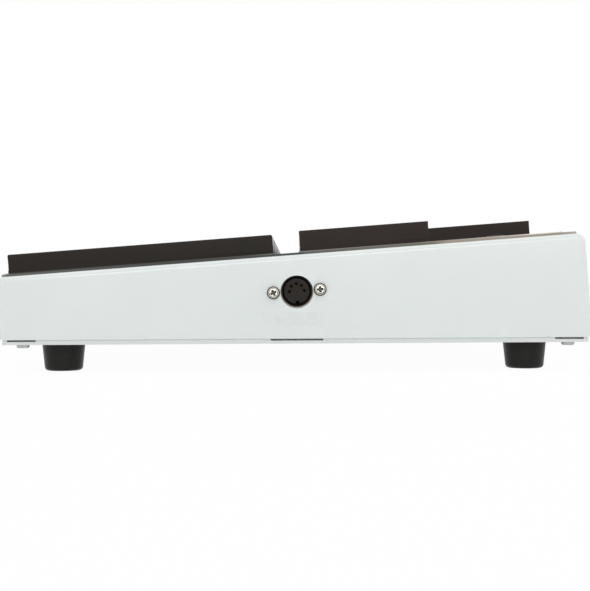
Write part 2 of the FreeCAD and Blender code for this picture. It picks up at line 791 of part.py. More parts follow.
def deck_openings(body):
    """Openings in the deck for the display, the buttons and the sensors' tails."""
    sketch = section(body, "deck_holes", "Z")
    rectangle(
        sketch, CONTROLS_X, WINDOW_ALONG, "(dims.window_width - 2 * dims.window_edge)",
        "(dims.window_length - 2 * dims.window_edge)",
    )
    for side in ("-", "+"):
        circle(
            sketch, f"{CONTROLS_X} {side} dims.button_spacing / 2", BUTTONS_ALONG,
            "dims.button_radius + dims.button_clearance",
        )
    for i, side in enumerate(("-", "+")):
        rectangle(
            sketch, f"({TAIL_X} - {i} * dims.tail_spacing)",
            f"({TAIL_MIDDLE} {side} dims.tail_row_distance / 2)",
            "(dims.tail_width + 2 * dims.tail_slot_clearance)",
            "(dims.tail_thickness + 2 * dims.tail_slot_clearance)",
        )
    cut(body, sketch, "deck_cut", "2 * dims.sheet_thickness", -1)


def bottom_plate():
    """The flat plate that closes the case from below, with slots under the end panels."""
    body = floor_piece("bottom_plate")
    block(
        body, "plate", "0", "0", f"(2 * ({RIGHT_END} - dims.plate_inset))",
        f"(2 * ({BASE_HALF_DEPTH} - dims.plate_inset))", "dims.foot_height",
        "dims.plate_thickness",
    )
    round_edges(body, "corners", "dims.plate_corner_radius", lambda edge: runs_along(edge, UP))
    holes = section(body, "holes", "Z", PLATE_TOP)
    for column in range(COVER_SCREW_COLUMNS):
        for row in ("-", ""):
            circle(
                holes, f"{column} * {COVER_SCREW_PITCH} - {COVER_SCREW_X}", f"{row}{COVER_SCREW_Y}",
                THROUGH_RADIUS,
            )
    for side in ("-", ""):
        for row in (FOOT_FRONT, FOOT_REAR):
            circle(holes, f"{side}{FOOT_X}", row, FOOT_THREAD_RADIUS)
    cut(body, holes, "screw_holes", "2 * dims.plate_thickness", -1)
    slots = section(body, "slots", "Z", PLATE_TOP)
    depth = "(2 * (dims.sheet_thickness + dims.relief_gap))"
    for side in ("-", ""):
        for row in ("-", ""):
            rectangle(slots, f"{side}{RIGHT_END}", f"{row}{RELIEF_Y}", depth, "dims.relief_length")
    rectangle(slots, RIGHT_END, SOCKET_WORLD_Y, depth, "dims.socket_slot_width")
    cut(body, slots, "edge_slots", "dims.plate_slot_depth", -1)


def cover_screws():
    """The screws that hold the bottom plate to the cover's flanges."""
    body = floor_piece("cover_screws")
    body.setExpression(".Placement.Base.x", f"-{COVER_SCREW_X}")
    body.setExpression(".Placement.Base.y", f"-{COVER_SCREW_Y}")
    body.setExpression(".Placement.Base.z", "dims.foot_height")
    pan_screw(
        body, "Z", -1, "dims.screw_radius", "dims.screw_head_radius",
        "dims.cover_screw_head_height", "dims.cover_screw_length",
    )
    repeat_piece(
        body, "all", "X", COVER_SCREW_PITCH, COVER_SCREW_COLUMNS, ("Y", f"2 * {COVER_SCREW_Y}", 2)
    )


def feet():
    """Four tall tapered rubber feet, each with a recess for its screw."""
    for depth_name, row in (("front", FOOT_FRONT), ("rear", FOOT_REAR)):
        for side_name, side in (("left", "-"), ("right", "")):
            body = floor_piece(f"foot_{depth_name}_{side_name}")
            body.setExpression(".Placement.Base.x", f"{side}{FOOT_X}")
            body.setExpression(".Placement.Base.y", row)
            hole = "dims.foot_screw_radius + dims.through_clearance"
            turn(body, "rubber", "Z", [
                ("0", "dims.foot_recess_radius"),
                ("0", "dims.foot_bottom_radius"),
                ("dims.foot_height", "dims.foot_top_radius"),
                ("dims.foot_height", hole),
                ("dims.foot_recess_depth", hole),
                ("dims.foot_recess_depth", "dims.foot_recess_radius"),
            ])
            outer = value("dims.foot_bottom_radius")
            round_edges(body, "bottom_edge", "dims.foot_edge_radius", lambda edge: (
                near(edge.BoundBox.ZMax, 0) and near(edge.BoundBox.XMax, outer)
            ))


def foot_screws():
    """The screws that hold the feet, threaded into the bottom plate."""
    body = floor_piece("foot_screws")
    body.setExpression(".Placement.Base.x", f"-{FOOT_X}")
    body.setExpression(".Placement.Base.y", FOOT_FRONT)
    body.setExpression(".Placement.Base.z", "dims.foot_recess_depth")
    pan_screw(
        body, "Z", -1, "dims.foot_screw_radius", "dims.foot_screw_head_radius",
        "dims.foot_screw_head_height", f"{PLATE_TOP} + dims.foot_screw_reach - dims.foot_recess_depth",
    )
    repeat_piece(body, "all", "X", f"2 * {FOOT_X}", 2, ("Y", f"({FOOT_REAR} - {FOOT_FRONT})", 2))


# Overlay, sensor strips, display window and buttons

def natural_strip(sketch, spare):
    """Outline of the sensor strip under the naturals, with some spare room round it."""
    half = f"({RIGHT_END} - dims.end_margin - dims.sensor_border + {spare})"
    front = f"({NATURAL_FRONT} + dims.sensor_border - {spare})"
    rear = f"({NATURAL_REAR} - dims.sensor_border + {spare})"
    tail_left = f"({TAIL_X} - dims.tail_width / 2 - {spare})"
    tail_right = f"({TAIL_X} + dims.tail_width / 2 + {spare})"
    tail = f"({TAIL_MIDDLE} - dims.tail_row_distance / 2 + dims.tail_thickness / 2 + {spare})"
    polygon(sketch, [
        (f"-{half}", front), (half, front), (half, rear), (tail_right, rear), (tail_right, tail),
        (tail_left, tail), (tail_left, rear), (f"-{half}", rear),
    ])


def accidental_strip(sketch, spare):
    """Outline of the strip under the accidentals and the short pad, with room round it."""
    left = f"({FIRST_ACCIDENTAL} - dims.accidental_width / 2 + dims.sensor_border - {spare})"
    last, names = ACCIDENTALS[-1]
    last_accidental = f"({FIRST_ACCIDENTAL} + {last + len(names) - 1} * {PAD_PITCH})"
    step = f"({last_accidental} + dims.accidental_width / 2 - dims.sensor_border + {spare})"
    right = f"({RIGHT_END} - dims.end_margin - dims.sensor_border + {spare})"
    front = f"({UPPER_FRONT} + dims.sensor_border - {spare})"
    rear = f"({UPPER_REAR} - dims.sensor_border + {spare})"
    step_along = f"({AUXILIARY_REAR} - dims.sensor_border + {spare})"
    tail_x = f"({TAIL_X} - dims.tail_spacing)"
    tail_left = f"({tail_x} - dims.tail_width / 2 - {spare})"
    tail_right = f"({tail_x} + dims.tail_width / 2 + {spare})"
    tail = f"({TAIL_MIDDLE} + dims.tail_row_distance / 2 - dims.tail_thickness / 2 - {spare})"
    polygon(sketch, [
        (left, front), (tail_left, front), (tail_left, tail), (tail_right, tail),
        (tail_right, front), (right, front), (right, step_along), (step, step_along),
        (step, rear), (left, rear),
    ])


def sensor_strip(name, outline, tail_x, side):
    """A pressure sensor strip whose tail goes down through the deck to its socket."""
    body = deck_piece(name)
    strip = section(body, "strip_outline", "Z")
    outline(strip, "0 * dims.sensor_clearance")
    extrude(body, strip, "strip", "dims.sensor_thickness")
    tail = section(body, "tail_outline", "Z", "dims.sensor_thickness")
    rectangle(
        tail, tail_x, f"({TAIL_MIDDLE} {side} dims.tail_row_distance / 2)", "dims.tail_width",
        "dims.tail_thickness",
    )
    tail_bottom = f"({BOARD_TOP} + dims.tail_socket_height - dims.tail_socket_depth / 2)"
    extrude(body, tail, "tail", f"dims.sensor_thickness - {tail_bottom}", -1)


def overlay_sheet():
    """The sheet over the deck, thicker under each row, with windows for the pads and controls."""
    body = deck_piece("overlay_sheet")
    block(
        body, "sheet", "0", "0", f"(2 * {OVERLAY_HALF_WIDTH})", f"(2 * {OVERLAY_HALF_DEPTH})",
        "0", "dims.overlay_thickness",
    )
    round_edges(body, "corners", "dims.overlay_corner_radius", lambda edge: runs_along(edge, UP))
    for name, front, rear in (
        ("natural", NATURAL_FRONT, NATURAL_REAR), ("upper", UPPER_FRONT, UPPER_REAR),
    ):
        block(
            body, f"{name}_rise", "0", f"(({front} + {rear}) / 2)",
            f"(2 * ({OVERLAY_HALF_WIDTH} - dims.overlay_row_border))",
            f"({rear} - {front} + 2 * dims.overlay_row_border)", "dims.overlay_thickness",
            "dims.overlay_row_rise",
        )
    for name, outline in (("natural", natural_strip), ("accidental", accidental_strip)):
        pocket = section(body, f"{name}_strip_room", "Z")
        outline(pocket, "dims.pad_clearance")
        cut(body, pocket, f"{name}_room", POCKET_DEPTH, 1)
    top = OVERLAY_TOP
    spare = "2 * dims.pad_clearance"
    window = section(body, "natural_window", "Z", top)
    rectangle(
        window, FIRST_NATURAL, f"({NATURAL_FRONT} + dims.natural_length / 2)",
        f"(dims.natural_width + {spare})", f"(dims.natural_length + {spare})",
    )
    first = cut(body, window, "natural_opening", f"2 * {top}", -1)
    repeat(body, "natural_openings", first, "X", PAD_PITCH, len(NATURALS))
    for start, notes in ACCIDENTALS:
        window = section(body, f"window_{notes[0]}", "Z", top)
        rectangle(
            window, f"({FIRST_ACCIDENTAL} + {start} * {PAD_PITCH})",
            f"({UPPER_FRONT} + dims.accidental_length / 2)",
            f"(dims.accidental_width + {spare})", f"(dims.accidental_length + {spare})",
        )
        first = cut(body, window, f"opening_{notes[0]}", f"2 * {top}", -1)
        repeat(body, f"openings_{notes[0]}", first, "X", PAD_PITCH, len(notes))
    rest = section(body, "other_windows", "Z", top)
    rectangle(
        rest, LAST_NATURAL, f"({UPPER_FRONT} + dims.auxiliary_length / 2)",
        f"(dims.natural_width + {spare})", f"(dims.auxiliary_length + {spare})",
    )
    rectangle(
        rest, CONTROLS_X, WINDOW_ALONG, "(dims.window_width + 2 * dims.window_clearance)",
        "(dims.window_length + 2 * dims.window_clearance)",
    )
    for side in ("-", "+"):
        circle(
            rest, f"{CONTROLS_X} {side} dims.button_spacing / 2", BUTTONS_ALONG,
            "dims.button_radius + dims.button_clearance",
        )
    cut(body, rest, "other_openings", f"2 * {top}", -1)


def display_window():
    """The pane over the display, flush with the overlay and resting on the deck."""
    body = deck_piece("display_window", CONTROLS_X, WINDOW_ALONG)
    block(body, "pane", "0", "0", "dims.window_width", "dims.window_length", "0", OVERLAY_TOP)
    round_edges(body, "corners", "dims.window_clearance", lambda edge: runs_along(edge, UP))


def buttons():
    """Two low round buttons, held under the deck by a rim, with a stem down to the switch."""
    cap_top = f"({OVERLAY_TOP} + dims.button_rise)"
    rim_top = "(-dims.sheet_thickness - dims.button_rim_gap)"
    rim_under = f"({rim_top} - dims.button_rim_height)"
    plunger_top = f"({BOARD_TOP} + dims.switch_height + dims.switch_plunger_height)"
    stem_under = f"({plunger_top} + dims.button_travel + dims.sensor_clearance)"
    rim_radius = "dims.button_radius + dims.button_rim_width"
    for name, side in (("button_minus", "-"), ("button_plus", "+")):
        body = deck_piece(name, f"{CONTROLS_X} {side} dims.button_spacing / 2", BUTTONS_ALONG)
        turn(body, "cap", "Z", [
            (stem_under, "0"),
            (stem_under, "dims.button_stem_radius"),
            (rim_under, "dims.button_stem_radius"),
            (rim_under, rim_radius),
            (rim_top, rim_radius),
            (rim_top, "dims.button_radius"),
            (cap_top, "dims.button_radius"),
            (cap_top, "0"),
        ])
        top = value(cap_top)
        outer = value("dims.button_radius")
        round_edges(body, "top_edge", "dims.button_edge_radius", lambda edge: (
            near(edge.BoundBox.ZMin, top) and near(edge.BoundBox.XMax, outer)
        ))


def button_switches():
    """The push switches on the board under the buttons."""
    body = deck_piece(
        "button_switches", f"{CONTROLS_X} - dims.button_spacing / 2", BUTTONS_ALONG, BOARD_TOP
    )
    block(
        body, "case", "0", "0", "dims.switch_width", "dims.switch_width", "0", "dims.switch_height"
    )
    plunger = section(body, "plunger_outline", "Z", "dims.switch_height")
    circle(plunger, "0", "0", "dims.switch_plunger_radius")
    extrude(body, plunger, "plunger", "dims.switch_plunger_height")
    repeat_piece(body, "both", "X", "dims.button_spacing", 2)


def led_display():
    """The display module on the board, just under the deck's opening."""
    body = deck_piece("led_display", CONTROLS_X, WINDOW_ALONG, BOARD_TOP)
    block(
        body, "module", "0", "0", "dims.display_width", "dims.display_length", "0",
        "dims.board_gap - dims.display_gap",
    )


# Main board and what it carries

def main_board():
    """The circuit board under the deck, notched beside the five-pin socket."""
    body = deck_piece("main_board")
    outline = section(body, "outline", "Z", BOARD_UNDER)
    notch_x = f"({BOARD_RIGHT} - dims.board_notch_width)"
    notch_y = "(dims.socket_along + dims.notch_beyond_socket)"
    polygon(outline, [
        (BOARD_LEFT, BOARD_FRONT), (notch_x, BOARD_FRONT), (notch_x, notch_y),
        (BOARD_RIGHT, notch_y), (BOARD_RIGHT, BOARD_REAR), (BOARD_LEFT, BOARD_REAR),
    ])
    extrude(body, outline, "board", "dims.board_thickness")
    holes = section(body, "holes", "Z", BOARD_TOP)
    circle(holes, STANDOFF_X, STANDOFF_Y, THROUGH_RADIUS)
    first = cut(body, holes, "screw_hole", "2 * dims.board_thickness", -1)
    repeat(body, "screw_holes", first, "X", STANDOFFS_ACROSS, 2, ("Y", STANDOFFS_ALONG, 2))


def on_standoffs(name, up):
    """A piece that stands at the first standoff."""
    return deck_piece(name, STANDOFF_X, STANDOFF_Y, up)


def repeat_on_standoffs(body):
    """Repeat a piece at all four standoffs."""
    repeat_piece(body, "all", "X", STANDOFFS_ACROSS, 2, ("Y", STANDOFFS_ALONG, 2))


def board_standoffs():
    """Threaded pillars between the deck and the board."""
    body = on_standoffs("board_standoffs", BOARD_TOP)
    pillar = section(body, "pillar_outline", "Z")
    circle(pillar, "0", "0", "dims.standoff_radius")
    circle(pillar, "0", "0", THREAD_RADIUS)
    extrude(body, pillar, "pillar", "dims.board_gap")
    repeat_on_standoffs(body)


def board_screws():
    """The screws that hold the board to the standoffs, from below."""
    body = on_standoffs("board_screws", BOARD_UNDER)
    pan_screw(
        body, "Z", -1, "dims.screw_radius", "dims.screw_head_radius", "dims.screw_head_height",
        "dims.board_screw_length",
    )
    repeat_on_standoffs(body)


def chip(body, length, width, legs):
    """A chip under the board: its case hangs a little below, on two rows of legs."""
    block(
        body, "case", "0", "0", length, width, "-dims.chip_rise - dims.chip_height",
        "dims.chip_height",
    )
    row = section(body, "leg_outline", "Z", "-dims.chip_rise - dims.chip_height / 2")
    rectangle(
        row, f"(-{legs - 1} * dims.leg_pitch / 2)", f"(-{width} / 2)", "dims.leg_width",
        "dims.leg_depth",
    )
    leg = extrude(body, row, "leg", "dims.chip_rise + dims.chip_height / 2")
    repeat(body, "legs", leg, "X", "dims.leg_pitch", legs, ("Y", width, 2))


def processor_chip():
    """The chip that turns the sensors' signals into messages."""
    body = deck_piece(
        "processor_chip", f"{BOARD_LEFT} + dims.processor_from_edge", "dims.processor_along",
        BOARD_UNDER,
    )
    chip(body, "dims.processor_length", "dims.processor_width", PROCESSOR_LEGS)


def input_chips():
    """The chips that pick one sensor after another for the processor."""
    body = deck_piece(
        "input_chips", f"{BOARD_LEFT} + dims.input_chip_from_edge", "dims.input_chip_along",
        BOARD_UNDER,
    )
    chip(body, "dims.input_chip_length", "dims.input_chip_width", INPUT_CHIP_LEGS)
    repeat_piece(body, "all", "X", "dims.input_chip_pitch", INPUT_CHIPS)


def tail_sockets():
    """The sockets on the board that take the two sensor tails."""
    body = deck_piece("tail_sockets", "0", "0", BOARD_TOP)
    housings = section(body, "housing_outline", "Z")
    slots = section(body, "slot_outline", "Z", "dims.tail_socket_height")
    for i, side in enumerate(("-", "+")):
        x = f"({TAIL_X} - {i} * dims.tail_spacing)"
        y = f"({TAIL_MIDDLE} {side} dims.tail_row_distance / 2)"
        rectangle(housings, x, y, "dims.tail_socket_width", "dims.tail_socket_length")
        rectangle(
            slots, x, y, "(dims.tail_width + 2 * dims.tail_slot_clearance)",
            "(dims.tail_thickness + dims.tail_slot_clearance)",
        )
    extrude(body, housings, "housings", "dims.tail_socket_height")
    cut(body, slots, "slots", "dims.tail_socket_depth", -1)


# Five-pin socket: each piece's origin is the socket's middle on the end panel's outer face

def socket_piece(name):
    """A piece of the five-pin socket."""
    return deck_piece(name, RIGHT_END, "dims.socket_along", "-dims.socket_drop")


FLANGE_FACE = "(-dims.sheet_thickness)"
FLANGE_BACK = f"({FLANGE_FACE} - dims.socket_flange_thickness)"


def midi_socket_frame():
    """The metal frame behind the panel: a flange with a short barrel round the insert."""
    body = socket_piece("midi_socket_frame")
    flange = section(body, "flange_outline", "X", FLANGE_FACE)
    rectangle(flange, "0", "0", "dims.socket_flange_length", "dims.socket_flange_width")
    extrude(body, flange, "flange", "dims.socket_flange_thickness", -1)
    round_edges(
        body, "corners", "dims.socket_flange_corner", lambda edge: runs_along(edge, ACROSS)
    )
    barrel = section(body, "barrel_outline", "X", FLANGE_BACK)
    circle(barrel, "0", "0", "dims.barrel_radius")
    extrude(body, barrel, "barrel", "dims.barrel_length", -1)
    bore = section(body, "bore_outline", "X", FLANGE_FACE)
    circle(bore, "0", "0", "dims.insert_radius + dims.insert_clearance")
    for side in ("-", ""):
        circle(bore, f"{side}dims.socket_screw_pitch / 2", "0", THROUGH_RADIUS)
    cut(body, bore, "bore", "dims.socket_flange_thickness + dims.barrel_length", -1)


def midi_socket_insert():
    """The black insert: a rim, a groove for the plug's shell and a core with five contact holes."""
    body = socket_piece("midi_socket_insert")
    rear = "-dims.insert_inset - dims.insert_length"
    groove_bottom = "-dims.insert_inset - dims.groove_depth"
    groove_radius = "dims.core_radius + dims.groove_width"
    turn(body, "moulding", "X", [
        (rear, "0"),
        (rear, "dims.insert_radius"),
        ("-dims.insert_inset", "dims.insert_radius"),
        ("-dims.insert_inset", groove_radius),
        (groove_bottom, groove_radius),
        (groove_bottom, "dims.core_radius"),
        ("-dims.insert_inset - dims.core_inset", "dims.core_radius"),
        ("-dims.insert_inset - dims.core_inset", "0"),
    ])
    hole = section(body, "contact_hole", "X", "0")
    circle(hole, "dims.contact_circle_radius", "0", "dims.contact_radius + dims.thread_clearance")
    first = cut(body, hole, "contact_cut", "2 * dims.insert_length", -1)
    ring = body.newObject("PartDesign::PolarPattern", "midi_socket_insert_contact_cuts")
    ring.Originals = [first]
    ring.Axis = (origin_feature(body, "X_Axis"), [""])
    ring.Angle = 180
    ring.Occurrences = CONTACTS
    body.Tip = ring
    key = section(body, "key_outline", "X", "0")
    rectangle(
        key, "0", "(-dims.core_radius + dims.key_length / 2 - dims.thread_clearance)",
        "dims.key_width", "(dims.key_length + 2 * dims.thread_clearance)",
    )
    cut(body, key, "key", "dims.insert_inset + dims.groove_depth", -1)


def midi_socket_contacts():
    """Five tube contacts on a half circle, with tails behind the insert."""
    body = socket_piece("midi_socket_contacts")
    pin = section(body, "pin_outline", "X", "-dims.contact_inset")
    circle(pin, "dims.contact_circle_radius", "0", "dims.contact_radius")
    length = "dims.insert_inset + dims.insert_length + dims.contact_tail - dims.contact_inset"
    extrude(body, pin, "pin", length, -1)
    bore = section(body, "bore_outline", "X", "-dims.contact_inset")
    circle(bore, "dims.contact_circle_radius", "0", "dims.contact_bore_radius")
    cut(body, bore, "bore", "dims.groove_depth - dims.contact_inset", -1)
    ring = body.newObject("PartDesign::PolarPattern", "midi_socket_contacts_all")
    ring.Originals = [body.Tip]
    ring.TransformMode = "Whole shape"
    ring.Axis = (origin_feature(body, "X_Axis"), [""])
    ring.Angle = 180
    ring.Occurrences = CONTACTS
    body.Tip = ring


def beside_socket(name, across):
    """A piece at the first of the socket's two screws."""
    return deck_piece(
        name, f"{RIGHT_END} + {across}", "dims.socket_along - dims.socket_screw_pitch / 2",
        "-dims.socket_drop",
    )


def midi_socket_screws():
    """The two pan-head screws of the socket, through the end panel and the flange."""
    body = beside_socket("midi_socket_screws", "0")
    pan_screw(
        body, "X", 1, "dims.screw_radius", "dims.screw_head_radius", "dims.screw_head_height",
        "dims.socket_screw_length",
    )
    repeat_piece(body, "both", "Y", "dims.socket_screw_pitch", 2)


def midi_socket_nuts():
    """The nuts of the socket's screws, behind the flange."""
    body = beside_socket("midi_socket_nuts", FLANGE_BACK)
    outline = section(body, "nut_outline", "X")
    hexagon(outline, "0", "0", "dims.nut_width")
    circle(outline, "0", "0", THREAD_RADIUS)
    extrude(body, outline, "nut", "dims.nut_thickness", -1)
    repeat_piece(body, "both", "Y", "dims.socket_screw_pitch", 2)


def rounded_route(points):
    """A path of straight runs joined by tangent arcs as large as the shorter run allows."""
    edges = []
    start = points[0]
    for before, corner, after in zip(points, points[1:], points[2:]):
        back = (before - corner).normalize()
        ahead = (after - corner).normalize()
        half_turn = (math.pi - back.getAngle(ahead)) / 2
        shorter = min((before - corner).Length, (after - corner).Length)
        radius = 0.45 * shorter / math.tan(half_turn)
        print(f"lead bend: radius {radius:.1f} mm, {radius / value('2 * dims.lead_radius'):.1f} diameters")
        reach = radius * math.tan(half_turn)
        middle = (back + ahead).normalize() * (radius / math.cos(half_turn) - radius)
        first = corner + back * reach
        last = corner + ahead * reach
        edges.append(Part.LineSegment(start, first).toShape())
        edges.append(Part.Arc(first, corner + middle, last).toShape())
        start = last
    edges.append(Part.LineSegment(start, points[-1]).toShape())
    return Part.Wire(edges)


def midi_socket_lead():
    """The lead from the back of the socket to the board's underside, with its moulded plug."""
    across = value("-dims.insert_inset - dims.insert_length")
    route = [FreeCAD.Vector(across, 0, 0)]
    steps = [
        ("-dims.lead_first_run", "0"),
        ("-dims.lead_step_across", "dims.lead_step_along"),
        ("-dims.lead_last_run", "0"),
    ]
    for x, y in steps:
        route.append(route[-1] + FreeCAD.Vector(value(x), value(y), 0))
    path = rounded_route(route)
    ring = Part.Circle(route[0], FreeCAD.Vector(1, 0, 0), value("dims.lead_radius")).toShape()
    cable = path.makePipeShell([Part.Wire([ring])], True, False)
    section_area = math.pi * value("dims.lead_radius") ** 2
    print(f"lead: length {path.Length:.1f} mm, volume {cable.Volume:.1f},"
          f" section times length {section_area * path.Length:.1f}")
    board_under = value(f"{BOARD_UNDER} + dims.socket_drop")
    plug_bottom = value("-dims.lead_plug_below")
    plug_length = value("dims.lead_plug_length")
    plug_width = value("dims.lead_plug_width")
    end = route[-1]
    plug = Part.makeBox(
        plug_length, plug_width, board_under - plug_bottom,
        FreeCAD.Vector(end.x - plug_length, end.y - plug_width / 2, plug_bottom),
    )
    lead = doc.addObject("Part::Feature", "midi_socket_lead")
    lead.Label = "midi_socket_lead"
    lead.Shape = cable.fuse(plug)
    deck_placement(lead, RIGHT_END, "dims.socket_along", "-dims.socket_drop")


def label_tape():
    """The strip of clear tape on the end panel, under the socket."""
    body = floor_piece("label_tape")
    outline = section(body, "outline", "X", RIGHT_END)
    rectangle(outline, "dims.tape_along", "dims.tape_height", "dims.tape_length", "dims.tape_width")
    extrude(body, outline, "tape", "dims.tape_thickness", 1)


# Rear wall fittings: each piece's origin lies on the rear wall's outer face, in the row under the
# board, with +Y pointing out of the case

def rear_piece(name, across):
    """A piece of the row on the rear wall."""
    return deck_piece(name, across, HALF_DEPTH, REAR_ROW_Z)


WALL_INSIDE = "(-dims.sheet_thickness)"


def pedal_jacks():
    """Two jack sockets for pedals: a case under the board, and a threaded nose out of the wall."""
    body = rear_piece("pedal_jacks", JACK_X)
    case = section(body, "case_outline", "Y", WALL_INSIDE)
    rectangle(case, "0", "0", "dims.jack_body_width", "dims.jack_body_width")
    extrude(body, case, "case", "dims.jack_body_depth", -1)
    nose = section(body, "nose_outline", "Y", WALL_INSIDE)
    circle(nose, "0", "0", "dims.jack_nose_radius")
    extrude(body, nose, "nose", "dims.sheet_thickness + dims.jack_nose_length", 1)
    bore = section(body, "bore_outline", "Y", "dims.jack_nose_length")
    circle(bore, "0", "0", "dims.jack_bore_radius")
    cut(body, bore, "bore", "dims.jack_bore_depth", -1)
    pattern = repeat_piece(body, "both", "X", "dims.jack_spacing", 2)
    pattern.Reversed = True


def pedal_jack_nuts():
    """The nuts that hold the jacks to the rear wall."""
    body = rear_piece("pedal_jack_nuts", JACK_X)
    nut = section(body, "nut_outline", "Y")
    hexagon(nut, "0", "0", "dims.jack_nut_width")
    circle(nut, "0", "0", "dims.jack_nose_radius + dims.thread_clearance")
    extrude(body, nut, "nut", "dims.jack_nut_thickness", 1)
    pattern = repeat_piece(body, "both", "X", "dims.jack_spacing", 2)
    pattern.Reversed = True


def power_inlet():
    """The inlet for the power supply's round plug, with its centre pin."""
    body = rear_piece("power_inlet", INLET_X)
    case = section(body, "case_outline", "Y", WALL_INSIDE)
    rectangle(case, "0", "0", "dims.inlet_width", "dims.jack_body_width")
    extrude(body, case, "case", "dims.inlet_depth", -1)
    nose = section(body, "nose_outline", "Y", WALL_INSIDE)
    circle(nose, "0", "0", "dims.inlet_nose_radius")
    extrude(body, nose, "nose", "dims.sheet_thickness + dims.inlet_nose_length", 1)
    bore = section(body, "bore_outline", "Y", "dims.inlet_nose_length")
    circle(bore, "0", "0", "dims.inlet_bore_radius")
    cut(body, bore, "bore", "dims.inlet_bore_depth", -1)
    pin = section(body, "pin_outline", "Y", "dims.inlet_nose_length - dims.inlet_pin_inset")
    circle(pin, "0", "0", "dims.inlet_pin_radius")
    extrude(body, pin, "pin", "dims.inlet_bore_depth", -1)


def power_switch_body():
    """The switch's case, which snaps into the rear wall behind its bezel."""
    body = rear_piece("power_switch_body", POWER_X)
    bezel = section(body, "bezel_outline", "Y")
    rectangle(
        bezel, "0", "0", "(dims.power_width + 2 * dims.bezel_border)",
        "(dims.power_height + 2 * dims.bezel_border)",
    )
    extrude(body, bezel, "bezel", "dims.bezel_thickness", 1)
    case = section(body, "case_outline", "Y")
    rectangle(case, "0", "0", "dims.power_width", "dims.power_height")
    extrude(body, case, "case", "dims.power_depth", -1)
    well = section(body, "well_outline", "Y", "dims.bezel_thickness")
    rectangle(
        well, "0", "0", "(2 * (dims.rocker_radius + dims.rocker_clearance))",
        "(dims.rocker_height + 2 * dims.rocker_clearance)",
    )
    depth = "dims.rocker_pivot_depth + dims.rocker_radius + dims.rocker_clearance"
    cut(body, well, "well", depth, -1)
    pins = section(body, "pin_holes", "Z")
    circle(
        pins, "0", "dims.bezel_thickness - dims.rocker_pivot_depth",
        "dims.rocker_pin_radius + dims.thread_clearance",
    )
    reach = "dims.rocker_height / 2 + dims.rocker_pin_length + dims.thread_clearance"
    cut(body, pins, "pin_cut", f"2 * ({reach})", 0)


def power_switch_rocker():
    """The rocker, tipped to its off side; its ends are round about its pivot."""
    body = deck_piece(
        "power_switch_rocker", POWER_X,
        f"{HALF_DEPTH} + dims.bezel_thickness - dims.rocker_pivot_depth", REAR_ROW_Z,
    )
    sketch = section(body, "outline", "Z")
    off = FreeCAD.Rotation(FreeCAD.Vector(0, 0, -1), value("dims.rocker_angle"))
    sketch.AttachmentOffset = FreeCAD.Placement(FreeCAD.Vector(), off)
    sketch.setExpression(".AttachmentOffset.Rotation.Angle", "dims.rocker_angle")
    radius = value("dims.rocker_radius")
    rise = value("dims.rocker_rise")
    depth = value("dims.rocker_depth")
    facet = math.tan(math.radians(value("dims.rocker_angle")))
    # The facets rise from the middle until they meet the round ends
    square = 1 + facet ** 2
    top_x = (-rise * facet + math.sqrt(radius ** 2 * square - rise ** 2)) / square
    top = FreeCAD.Vector(top_x, rise + top_x * facet, 0)
    low = FreeCAD.Vector(math.sqrt(radius ** 2 - depth ** 2), -depth, 0)
    middle = FreeCAD.Vector(0, rise, 0)
    side = FreeCAD.Vector(radius, 0, 0)

    def left(point):
        return FreeCAD.Vector(-point.x, point.y, 0)

    outline = [
        Part.Arc(low, side, top),
        Part.LineSegment(top, middle),
        Part.LineSegment(middle, left(top)),
        Part.Arc(left(top), left(side), left(low)),
        Part.LineSegment(left(low), low),
    ]
    for piece in outline:
        sketch.addGeometry(piece, False)
    extrude(body, sketch, "rocker", "dims.rocker_height", 0)
    pins = section(body, "pin_outline", "Z")
    circle(pins, "0", "0", "dims.rocker_pin_radius")
    extrude(body, pins, "pins", "dims.rocker_height + 2 * dims.rocker_pin_length", 0)


pads()
top_cover()
bottom_plate()
cover_screws()
feet()
foot_screws()
overlay_sheet()
sensor_strip("sensor_strip_naturals", natural_strip, TAIL_X, "-")
sensor_strip("sensor_strip_accidentals", accidental_strip, f"({TAIL_X} - dims.tail_spacing)", "+")
display_window()
buttons()
button_switches()
led_display()
main_board()
board_standoffs()
board_screws()
processor_chip()
input_chips()
tail_sockets()
midi_socket_frame()
midi_socket_insert()
midi_socket_contacts()
midi_socket_screws()
midi_socket_nuts()
midi_socket_lead()
label_tape()
pedal_jacks()
pedal_jack_nuts()
power_inlet()
power_switch_body()
power_switch_rocker()
doc.recompute()

for thing in doc.Objects:
    if "Invalid" in thing.State or "Error" in thing.State:
        raise RuntimeError(f"{thing.Name} was not made: {thing.State}")
for feature in cuts:
    before = feature.BaseFeature.Shape.Volume
    if not feature.Shape.Volume < before:
        raise RuntimeError(f"{feature.Name} cuts nothing")

pieces = [
    thing for thing in doc.Objects
    if thing.TypeId == "PartDesign::Body" or thing.TypeId == "Part::Feature"
]
os.makedirs("parts", exist_ok=True)
for piece in pieces:
    shape = piece.Shape
    if shape.isNull() or not shape.isValid() or not shape.Solids:
        raise RuntimeError(f"{piece.Label} has no valid solid")
    shape.exportStep(f"parts/{piece.Label}.step")
print(f"{len(pieces)} pieces, {sum(len(piece.Shape.Solids) for piece in pieces)} solids")
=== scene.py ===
# %% [markdown]
# # A mallet controller
#
# The real instrument is a low steel case on tall rubber feet. Its sloping deck carries two rows
# of rubber pads, laid out like the bars of a vibraphone, and the case's end panel holds a round
# five-pin socket. The CAD model gives every part its size and place. This lesson gives the parts
# their looks: each finish is built from noise and simple maths, and the parts that a flat solid
# can't show well are modelled again over it. We start by loading the CAD model as a fixed frame.

# %% Load the frame
import math

import bpy
from mathutils import Matrix, Vector


